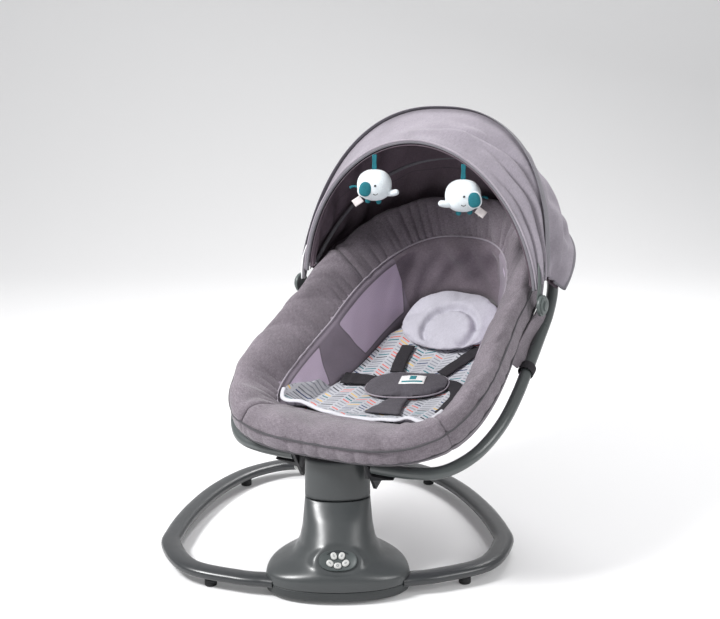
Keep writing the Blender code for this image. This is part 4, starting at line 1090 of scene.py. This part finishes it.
WAIST_CENTRE, WAIST_TURN = (0.006, 0.268), math.radians(16)
waist_pad, waist_edge = lying_pad(
    "waist_pad_cover", WAIST_CENTRE, (0.075, 0.042), 2.5, 0.018, 0.0036, WAIST_TURN, waist_relief,
    harness_cloth, "harness_fabric", "waist_pad", count=96, voxel=0.0032, cap=0.004)
add_loop("waist_pad_piping", seat(sweep(waist_edge, oval(0.0026, 0.0026, 8), (0, 0, 1), loop=True)),
         piping_light, "seat", "harness_fabric")


def liner_strap(name, route, width, material, node=None, lift=0.0045, thick=0.0024):
    """Flat webbing along (u, v) points on the liner, 2.4 mm thick, with a slightly crowned face."""
    path = smooth_path(route, 14)
    tangent = unit(np.gradient(path, axis=0))
    side = np.stack([-tangent[:, 1], tangent[:, 0]], axis=1)
    wide = np.interp(np.linspace(0, 1, len(path)), np.linspace(0, 1, len(np.atleast_1d(width))),
                     np.atleast_1d(width))
    across = np.linspace(-0.5, 0.5, 9)
    plan = path[:, None] + side[:, None] * (across[None] * wide[:, None])[:, :, None]
    along = np.linspace(0, 1, len(path))[:, None]
    w = (liner_w(plan[:, :, 0], plan[:, :, 1]) + lift
         + 0.0008 * np.cos(across * math.pi)[None] + 0.0006 * np.sin(along * 19.0))
    strap = np.dstack([plan, w])
    made = add_piece(name, seat(strap), material, "seat", "harness_fabric", node, thickness=thick)


liner_strap("shoulder_webbing_left", ((-0.057, 0.392), (-0.052, 0.355), (-0.040, 0.312)), 0.025,
            webbing, "shoulder_strap_left", lift=0.0062)
liner_strap("shoulder_webbing_right", ((0.082, 0.405), (0.066, 0.372), (0.046, 0.322)), 0.025,
            webbing, "shoulder_strap_right", lift=0.0062)
liner_strap("crotch_webbing", ((0.012, 0.236), (0.014, 0.200), (0.018, 0.165)),
            (0.030, 0.042, 0.064), harness_cloth, "crotch_strap", lift=0.0060, thick=0.0034)
liner_strap("waist_webbing_left", ((-0.121, 0.262), (-0.098, 0.268), (-0.060, 0.272)),
            (0.036, 0.034, 0.030), webbing, lift=0.0075)
liner_strap("waist_webbing_right", ((0.062, 0.292), (0.088, 0.288), (0.108, 0.262), (0.114, 0.225),
                                    (0.116, 0.192)), 0.026, webbing, lift=0.0066)
patch_cloth = cloth_material("patch_cloth", tint(222, 222, 222), tint(240, 240, 240), sheen=0.0,
                             bump=0.1)
patch_ink = cloth_material("patch_ink", tint(40, 120, 128), tint(56, 134, 142), sheen=0.0, bump=0.1)


def waist_patch(name, x_range, y_range, lift, material):
    """Small flat rectangle sewn on the crown of the waist pad, shrunk onto its cloth."""
    x, y = np.meshgrid(np.linspace(*x_range, 14), np.linspace(*y_range, 10), indexing="xy")
    u, v = turned(x, y, WAIST_TURN)
    u, v = WAIST_CENTRE[0] + u, WAIST_CENTRE[1] + v
    w = liner_w(u, v) + 0.026
    made = add_piece(name, seat(np.dstack([u, v, w])), material, "seat", "harness_fabric")
    wrap = made.modifiers.new("lie", "SHRINKWRAP")
    wrap.target = waist_pad
    wrap.wrap_method = "NEAREST_SURFACEPOINT"
    wrap.wrap_mode = "ABOVE_SURFACE"
    wrap.offset = lift
    wall = made.modifiers.new("wall", "SOLIDIFY")
    wall.thickness = 0.0005
    wall.offset = 1.0


waist_patch("waist_patch", (-0.008, 0.037), (-0.014, 0.013), 0.0006, patch_cloth)
waist_patch("waist_patch_bar", (-0.004, 0.033), (-0.0095, -0.0060), 0.0012, patch_ink)
waist_patch("waist_patch_square", (0.009, 0.020), (-0.002, 0.009), 0.0012, patch_ink)

# ------------------------------------------------------------------ canopy
# Three wire bows turn on a hub either side. One pale sheet spans front and middle bow, one
# spans middle and rear bow and falls to a hem behind; a dark lining follows inside.
HUB_V, HUB_W, BOW_R = 0.384, -0.004, 0.0034
BOWS = {"front": (60.9, 0.265, 1.95, 0.2265, 0.024), "mid": (41.0, 0.328, 2.35, 0.2345, 0.014),
        "rear": (17.0, 0.300, 2.50, 0.2265, 0.044), "hem": (-5.0, 0.283, 2.60, 0.2560, 0.050)}
canopy_cloth = cloth_material("canopy_cloth", tint(124, 118, 127), tint(155, 149, 158), sheen=0.1,
                              bump=0.3)
lining_cloth = cloth_material("lining_cloth", tint(82, 70, 79), tint(110, 97, 106), sheen=0.0,
                              bump=0.25)
band_cloth = cloth_material("band_cloth", tint(104, 102, 108), tint(126, 123, 130), sheen=0.1,
                            bump=0.25)


def bow_points(share, bow, grow=0.0):
    """Superellipse arch in a plane through the hubs; share 0 to 1 from right to left hub.

    A bow is (degrees up from the seat's plane, reach, superellipse power, half width,
    clear distance from the hubs' line to its ends).
    """
    angle, reach, power, half, _ = bow
    t = np.pi * np.asarray(share, float)
    c, s = np.cos(t), np.clip(np.sin(t), 1e-9, 1)
    u = signed_power(c, 2 / power) * (half + grow)
    rise = s ** (2 / power) * (reach + grow)
    angle = np.radians(angle)
    return np.stack([u, HUB_V + rise * np.cos(angle), HUB_W + rise * np.sin(angle)], axis=-1)


def bow_plane(name):
    """Unit normal of the plane that a bow lies in."""
    angle = math.radians(BOWS[name][0])
    return (0.0, -math.sin(angle), math.cos(angle))


def canopy_sheet(first, second, mixes, grow):
    """Sheet between two bows, rows from the first to the second, pushed out by grow."""
    m, s = np.meshgrid(mixes, shares, indexing="ij")
    bow = [np.asarray(a * (1 - m) + b * m) for a, b in zip(BOWS[first], BOWS[second])]
    return bow_points(s, bow, grow)


for bow_name, body in (("front", "canopy_front"), ("mid", "canopy_middle"), ("rear", "seat")):
    bow = BOWS[bow_name]
    start = math.asin((bow[4] / bow[1]) ** (bow[2] / 2)) / math.pi
    path = bow_points(np.linspace(start, 1 - start, 80), bow)
    add_tube(bow_name + "_bow_cover", seat(sweep(path, oval(2 * BOW_R, 2 * BOW_R, 12),
                                                 bow_plane(bow_name))), band_cloth, body,
             "canopy_fabric", bow_name + "_bow")

CANOPY_LIFT = BOW_R + 0.0015
LINING_GAP = 0.003
REAR_BOW_MIX = 0.5217              # where the rear bow lies between the middle bow and the hem
shares = np.linspace(0.034, 0.966, 190)
front_mix = np.linspace(-0.03, 1.0, 46)


def canopy_folds(m, s):
    """Long folds that fan out from either hub, soft creases at the crown and a sag between
    the bows; all die out on the bows themselves."""
    between = np.sin(clamp(m) * math.pi)
    right = clamp((0.50 - s) / 0.36)
    left = clamp((s - 0.68) / 0.26)
    fan = (m * 3.4 + 1.6 * s + 0.10 * np.sin(s * 25))
    folds = (right * 0.0150 * (np.abs(np.sin(fan * math.pi)) ** 1.2 - 0.55)
             + left * 0.0050 * (np.abs(np.sin((m * 3.0 - 1.8 * s) * math.pi)) ** 1.5 - 0.4))
    crown = bell(s - 0.40, 0.10) * bell(m - 0.30 - 1.2 * (0.45 - s), 0.10)
    crown2 = bell(s - 0.34, 0.09) * bell(m - 0.52 - 1.6 * (0.38 - s), 0.07)
    ripple = 0.0012 * np.sin(s * 60 + m * 7)
    return (between * (folds - 0.010 * (1 - right) + 0.001)
            + between * (0.0110 * crown - 0.0110 * crown2 + ripple))


def sheet_size(grid):
    """Flat size and area of a sheet from its own rest shape."""
    wide = float(np.linalg.norm(np.diff(grid, axis=1), axis=2).sum(axis=1).max())
    tall = float(np.linalg.norm(np.diff(grid, axis=0), axis=2).sum(axis=0).max())
    a = np.diff(grid, axis=0)[:, :-1]
    b = np.diff(grid, axis=1)[:-1]
    area = float(np.linalg.norm(np.cross(a, b), axis=2).sum())
    return (round(wide, 3), round(tall, 3)), round(area, 4)


def bent_sheet(name, grid, material, node=None):
    """Canopy sheet from one bow's crown to the other's, on no body, with its placing baked into the
    mesh.
    """
    made = add_piece(name, seat(grid), material, None, "canopy_fabric", node, thickness=0.0011)
    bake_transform(made)


fold = canopy_folds(*np.meshgrid(front_mix, shares, indexing="ij"))
front_grid = canopy_sheet("front", "mid", front_mix, CANOPY_LIFT + fold)
bent_sheet("canopy_front_cloth", front_grid, canopy_cloth,
           "canopy_front_panel")
lining_mix = np.linspace(0.0, 1.0, 40)
lining_fold = canopy_folds(*np.meshgrid(lining_mix, shares, indexing="ij"))
lining_grid = canopy_sheet("front", "mid", lining_mix, -BOW_R - LINING_GAP + 0.9 * lining_fold)
bent_sheet("canopy_front_lining", lining_grid, lining_cloth)


def rear_folds(mixes):
    """Slack between the bows of the rear sheet; it dies out on the rear bow and the hem."""
    m, s = np.meshgrid(mixes, shares, indexing="ij")
    bay = np.interp(m, (0.0, REAR_BOW_MIX, 1.0), (0.0, 1.0, 2.0))
    return np.abs(np.sin(bay * math.pi)) * (-0.006 + 0.0045 * np.sin(s * 38 + m * 6)
                                            + 0.0035 * np.sin(s * 71 - m * 11 + 1))


rear_mix = np.linspace(0.0, 1.0, 64)
rear_grid = canopy_sheet("mid", "hem", rear_mix, CANOPY_LIFT + rear_folds(rear_mix))
bent_sheet("canopy_rear_cloth", rear_grid, canopy_cloth,
           "canopy_rear_panel")
lining_mix = np.linspace(0.0, 0.98, 50)
lining_drop = rear_folds(lining_mix) - BOW_R - LINING_GAP
rear_lining_grid = canopy_sheet("mid", "hem", lining_mix, lining_drop)
bent_sheet("canopy_rear_lining", rear_lining_grid, lining_cloth)

tail_share = np.linspace(0.075, 0.964, 150)
tail_top = bow_points(tail_share, BOWS["hem"], -BOW_R)
around = np.arctan2(tail_top[:, 1] - HUB_V, tail_top[:, 0])
rim_around = np.arctan2(rim_points[:, 1] - HUB_V, rim_points[:, 0])
upper = (rim_around > -0.2) | (rim_around < -math.pi + 0.2)
head_around = np.where(rim_around < -2, rim_around + 2 * math.pi, rim_around)[upper]
head_order = np.argsort(head_around)
head_line = (rim_points + rim_inward * 0.006)[upper][head_order]
tail_foot = np.stack([np.interp(around, head_around[head_order], head_line[:, k]) for k in (0, 1)]
                     + [np.full(150, 0.004)], axis=1)
tail_mix = np.linspace(0, 1, 12)[:, None, None]
tail_grid = tail_top[None] * (1 - tail_mix) + tail_foot[None] * tail_mix
tail_grid[:, :, 2] -= 0.010 * np.sin(tail_mix[:, :, 0] * math.pi)
tail = add_piece("canopy_tail_lining", seat(tail_grid), lining_cloth, "seat", "canopy_fabric",
                 thickness=0.001)
size, area = sheet_size(tail_grid)


def canopy_cord(name, line, size, material, body, up):
    """Cord or band of an oval size along a line of the canopy, flat side square to up."""
    return add_tube(name, seat(sweep(line, oval(*size, 10), up)), material, body, "canopy_fabric")


canopy_cord("canopy_front_piping", front_grid[0], (0.0034, 0.0034), piping_light, "canopy_front",
            bow_plane("front"))
canopy_cord("canopy_mid_band", bow_points(shares, BOWS["mid"], CANOPY_LIFT + 0.0012),
            (0.0030, 0.0210), band_cloth, "canopy_middle", bow_plane("mid"))
canopy_cord("canopy_rear_piping", rear_grid[-1], (0.0050, 0.0050), band_cloth, "seat", (0, 0, 1))
for edge, word in ((0, "right"), (-1, "left")):
    canopy_cord("canopy_flap_piping_" + word, rear_grid[36:, edge], (0.0048, 0.0048), band_cloth,
                "seat", (1, 0, 0))
for seam, place in enumerate((14, 30)):
    lining_seam = canopy_cord("canopy_lining_seam_%d" % (seam + 1), rear_lining_grid[place],
                              (0.0016, 0.0016), piping_dark, None, (0, -0.4, 1))
    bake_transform(lining_seam)

# ------------------------------------------------------------------ canopy hubs
# Each bow turns on a stepped plastic hub with a raised middle. A tab covers the bow's root,
# white on the left and grey on the right. Profile rows are (along the axis, radius).
hub_plastic = hard_material("hub_plastic", tint(86, 93, 92), 0.38)
white_plastic = hard_material("white_plastic", tint(226, 226, 228), 0.4)
HUB_PROFILE = ((0.2365, 0.0150), (0.2368, 0.0172), (0.2375, 0.0178), (0.2415, 0.0178),
               (0.2425, 0.0172), (0.2427, 0.0150), (0.2445, 0.0148), (0.2455, 0.0140),
               (0.2456, 0.0085), (0.2475, 0.0082), (0.2480, 0.0072), (0.2478, 0.0004))
for side, word in ((-1, "left"), (1, "right")):
    along, one, other = disc_rings(HUB_PROFILE, 48)
    rings = np.stack([side * along, HUB_V + one, HUB_W + other], axis=2)
    add_tube("canopy_hub_%s_cap" % word, seat(rings), hub_plastic, "seat", "black_plastic",
             "canopy_hub_" + word)
    tab = np.array([(side * 0.2335, 0.3860, 0.0040), (side * 0.2345, 0.3980, 0.0200),
                    (side * 0.2330, 0.4130, 0.0370), (side * 0.2290, 0.4270, 0.0500)])
    tab_plastic = white_plastic if side < 0 else hub_plastic
    add_tube("canopy_tab_" + word, seat(sweep(smooth_path(tab, 8), oval(0.0110, 0.0034, 20, 3.5),
                                              (1.0, 0.0, 0.0))), tab_plastic, "seat",
             "black_plastic")

# ------------------------------------------------------------------ side skirts
# A flap of rim cloth hangs from each side of the rim beside the hoop, and a webbing loop
# ties the rim to the hoop.
STRAP_LOOP_R = 0.0128
for side, word in ((-1, "left"), (1, "right")):
    a, b = np.meshgrid(np.linspace(0, 1, 30), np.linspace(0, 1, 16), indexing="ij")
    v = 0.262 + 0.140 * a + 0.012 * b
    drop = 0.026 + 0.020 * np.sin(clamp(a) * math.pi / 2)
    u = side * (0.2245 + 0.0035 * np.sin(a * 9) * b + 0.004 * b)
    skirt = np.dstack([u, v, -0.020 - drop * b])
    made = add_piece("side_skirt_" + word, seat(skirt), rim_cloth, "seat", "rim_fabric",
                     thickness=0.0012)
    size, area = sheet_size(skirt)
    loop_turn = full_turn(40)
    loop_path = np.stack([side * (0.2400 + STRAP_LOOP_R * np.cos(loop_turn)),
                          0.284 + 0.001 * np.sin(loop_turn),
                          -0.0570 + STRAP_LOOP_R * np.sin(loop_turn)], 1)
    add_loop("hoop_strap_" + word, seat(sweep(loop_path, oval(0.0014, 0.016, 14, 4.0), (0, 1, 0),
                                              loop=True)), webbing, "seat", "harness_fabric")

# ------------------------------------------------------------------ hanging toys
# Two plush elephants hang from the front bow on teal ribbons and face the child's side of
# the canopy mouth; the right one is the mirror image of the left one.
plush = cloth_material("plush", tint(214, 224, 230), tint(238, 243, 246), sheen=0.8, bump=0.5,
                       thread=1500.0)
teal_cloth = cloth_material("teal_cloth", tint(18, 98, 110), tint(34, 124, 136), sheen=0.0,
                            bump=0.3)
eye_plastic = hard_material("eye_plastic", tint(26, 26, 28), 0.15, coat=0.6)
tag_cloth = cloth_material("tag_cloth", tint(226, 216, 216), tint(240, 234, 234), sheen=0.0,
                           bump=0.1)


def ball(centre, half, power=2.0, rings=20, count=36, turn=0.0):
    """Superellipsoid grid with its poles up and down, leaning by turn about the y axis."""
    lat = np.linspace(0.02, math.pi - 0.02, rings)[:, None]
    lon = full_turn(count)[None]
    x = half[0] * signed_power(np.sin(lat), 2 / power) * signed_power(np.cos(lon), 2 / power)
    y = half[1] * signed_power(np.sin(lat), 2 / power) * signed_power(np.sin(lon), 2 / power)
    z = half[2] * signed_power(np.cos(lat), 2 / power) * np.ones_like(lon)
    return np.dstack([centre[0] + x * math.cos(turn) + z * math.sin(turn), centre[1] + y,
                      centre[2] - x * math.sin(turn) + z * math.cos(turn)])


TOY_HALF, TOY_POWER = (0.0305, 0.0240, 0.0275), 2.25
for word, k in (("left", 1.0), ("right", -1.0)):
    toy = "toy_" + word
    low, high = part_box(toy)
    cx, cy, cz = ((np.array(low) + np.array(high)) / 2).tolist()
    body = ball((cx, cy, cz), TOY_HALF, TOY_POWER, 40, 64)
    lean = body - np.array([cx, cy, cz])
    seam = bell(lean[:, :, 1] - 0.002, 0.0012)
    body = body - lean * (0.035 * seam)[:, :, None] * np.array([1, 0, 1])
    made = add_tube(toy + "_body", body, plush, toy, "plush", toy)
    trunk = smooth_path([(cx + k * 0.022, cy - 0.006, cz - 0.0125),
                         (cx + k * 0.030, cy - 0.010, cz - 0.0125),
                         (cx + k * 0.038, cy - 0.012, cz - 0.0110),
                         (cx + k * 0.0425, cy - 0.012, cz - 0.0100)], 8)
    grow = np.concatenate([np.linspace(1.15, 1.0, len(trunk) - 12),
                           np.sqrt(1.0 - np.linspace(0.1, 0.99, 12) ** 2)])
    trunk_piece = add_tube(toy + "_trunk", sweep(trunk, oval(0.0125, 0.0115, 20), (0, 0, 1),
                                                 scale=grow), plush, toy, "plush")

    def face(dx, dz, lift):
        """Point on the front of the toy's body at an offset from its middle."""
        inside = 1 - (abs(dx) / TOY_HALF[0]) ** TOY_POWER - (abs(dz) / TOY_HALF[2]) ** TOY_POWER
        return (cx + dx, cy - TOY_HALF[1] * max(inside, 0.02) ** (1 / TOY_POWER) - lift, cz + dz)

    add_tube(toy + "_ear", ball(face(-k * 0.0165, -0.004, 0.000), (0.0110, 0.0050, 0.0130), 2.4,
                                turn=k * 0.25), teal_cloth, toy, "teal_ribbon")
    add_tube(toy + "_ear_rim", ball(face(-k * 0.0170, -0.004, -0.0015), (0.0128, 0.0045, 0.0149),
                                    2.4, turn=k * 0.25), plush, toy, "plush")
    add_tube(toy + "_eye", ball(face(k * 0.0005, 0.0020, 0.0), (0.0020, 0.0014, 0.0021)),
             eye_plastic, toy, "black_plastic")
    smile_turn = np.linspace(-2.6, -0.4, 12)
    smile = [face(k * 0.0010 + 0.0042 * math.cos(t), -0.0100 + 0.0042 * math.sin(t), 0.0002)
             for t in smile_turn]
    add_tube(toy + "_smile", sweep(smile, oval(0.0014, 0.0014, 8), (0, 1, 0)), eye_plastic, toy,
             "black_plastic")
    for number, (dx, dz) in enumerate(((-0.0115, -0.0265), (0.0075, -0.0280))):
        add_tube("%s_foot_%d" % (toy, number + 1), ball((cx + k * dx, cy - 0.004, cz + dz),
                                                        (0.0048, 0.0050, 0.0052), 2.2, 14, 24),
                 teal_cloth, toy, "teal_ribbon")
    tail = smooth_path([(cx - k * 0.028, cy + 0.004, cz - 0.004),
                        (cx - k * 0.036, cy + 0.005, cz - 0.003),
                        (cx - k * 0.043, cy + 0.004, cz - 0.005)], 6)
    add_tube(toy + "_tail", sweep(tail, oval(0.0042, 0.0036, 12), (0, 0, 1),
                                  scale=np.linspace(0.8, 1.4, len(tail))), teal_cloth, toy,
             "teal_ribbon")
    a, b = np.meshgrid(np.linspace(-0.0085, 0.0085, 12), np.linspace(-0.0065, 0.0065, 8),
                       indexing="ij")
    tag_x, tag_z = turned(a, b, k * 0.62)
    tag = np.dstack([cx - k * 0.0295 + tag_x,
                     cy - 0.012 - 0.0010 * np.sin(a * 300),
                     cz - 0.0265 + tag_z])
    add_piece(toy + "_tag", tag, tag_cloth, toy, "plush", thickness=0.0006)
    ribbon_low, ribbon_high = (np.array(p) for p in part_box("toy_ribbon_" + word))
    t, across = np.meshgrid(np.linspace(0, 1, 24), np.linspace(-0.5, 0.5, 7), indexing="ij")
    middle = (ribbon_low + ribbon_high) / 2
    ribbon = np.dstack([middle[0] + across * (0.0075 + 0.0006 * np.sin(t * 9)),
                        middle[1] + 0.0005 * np.sin(t * 6.0) + 0.0004 * np.cos(across * 3),
                        ribbon_low[2] + t * (ribbon_high[2] - ribbon_low[2])])
    add_piece("toy_ribbon_%s_weave" % word, ribbon, teal_cloth, toy, "teal_ribbon",
              "toy_ribbon_" + word, thickness=0.0012)
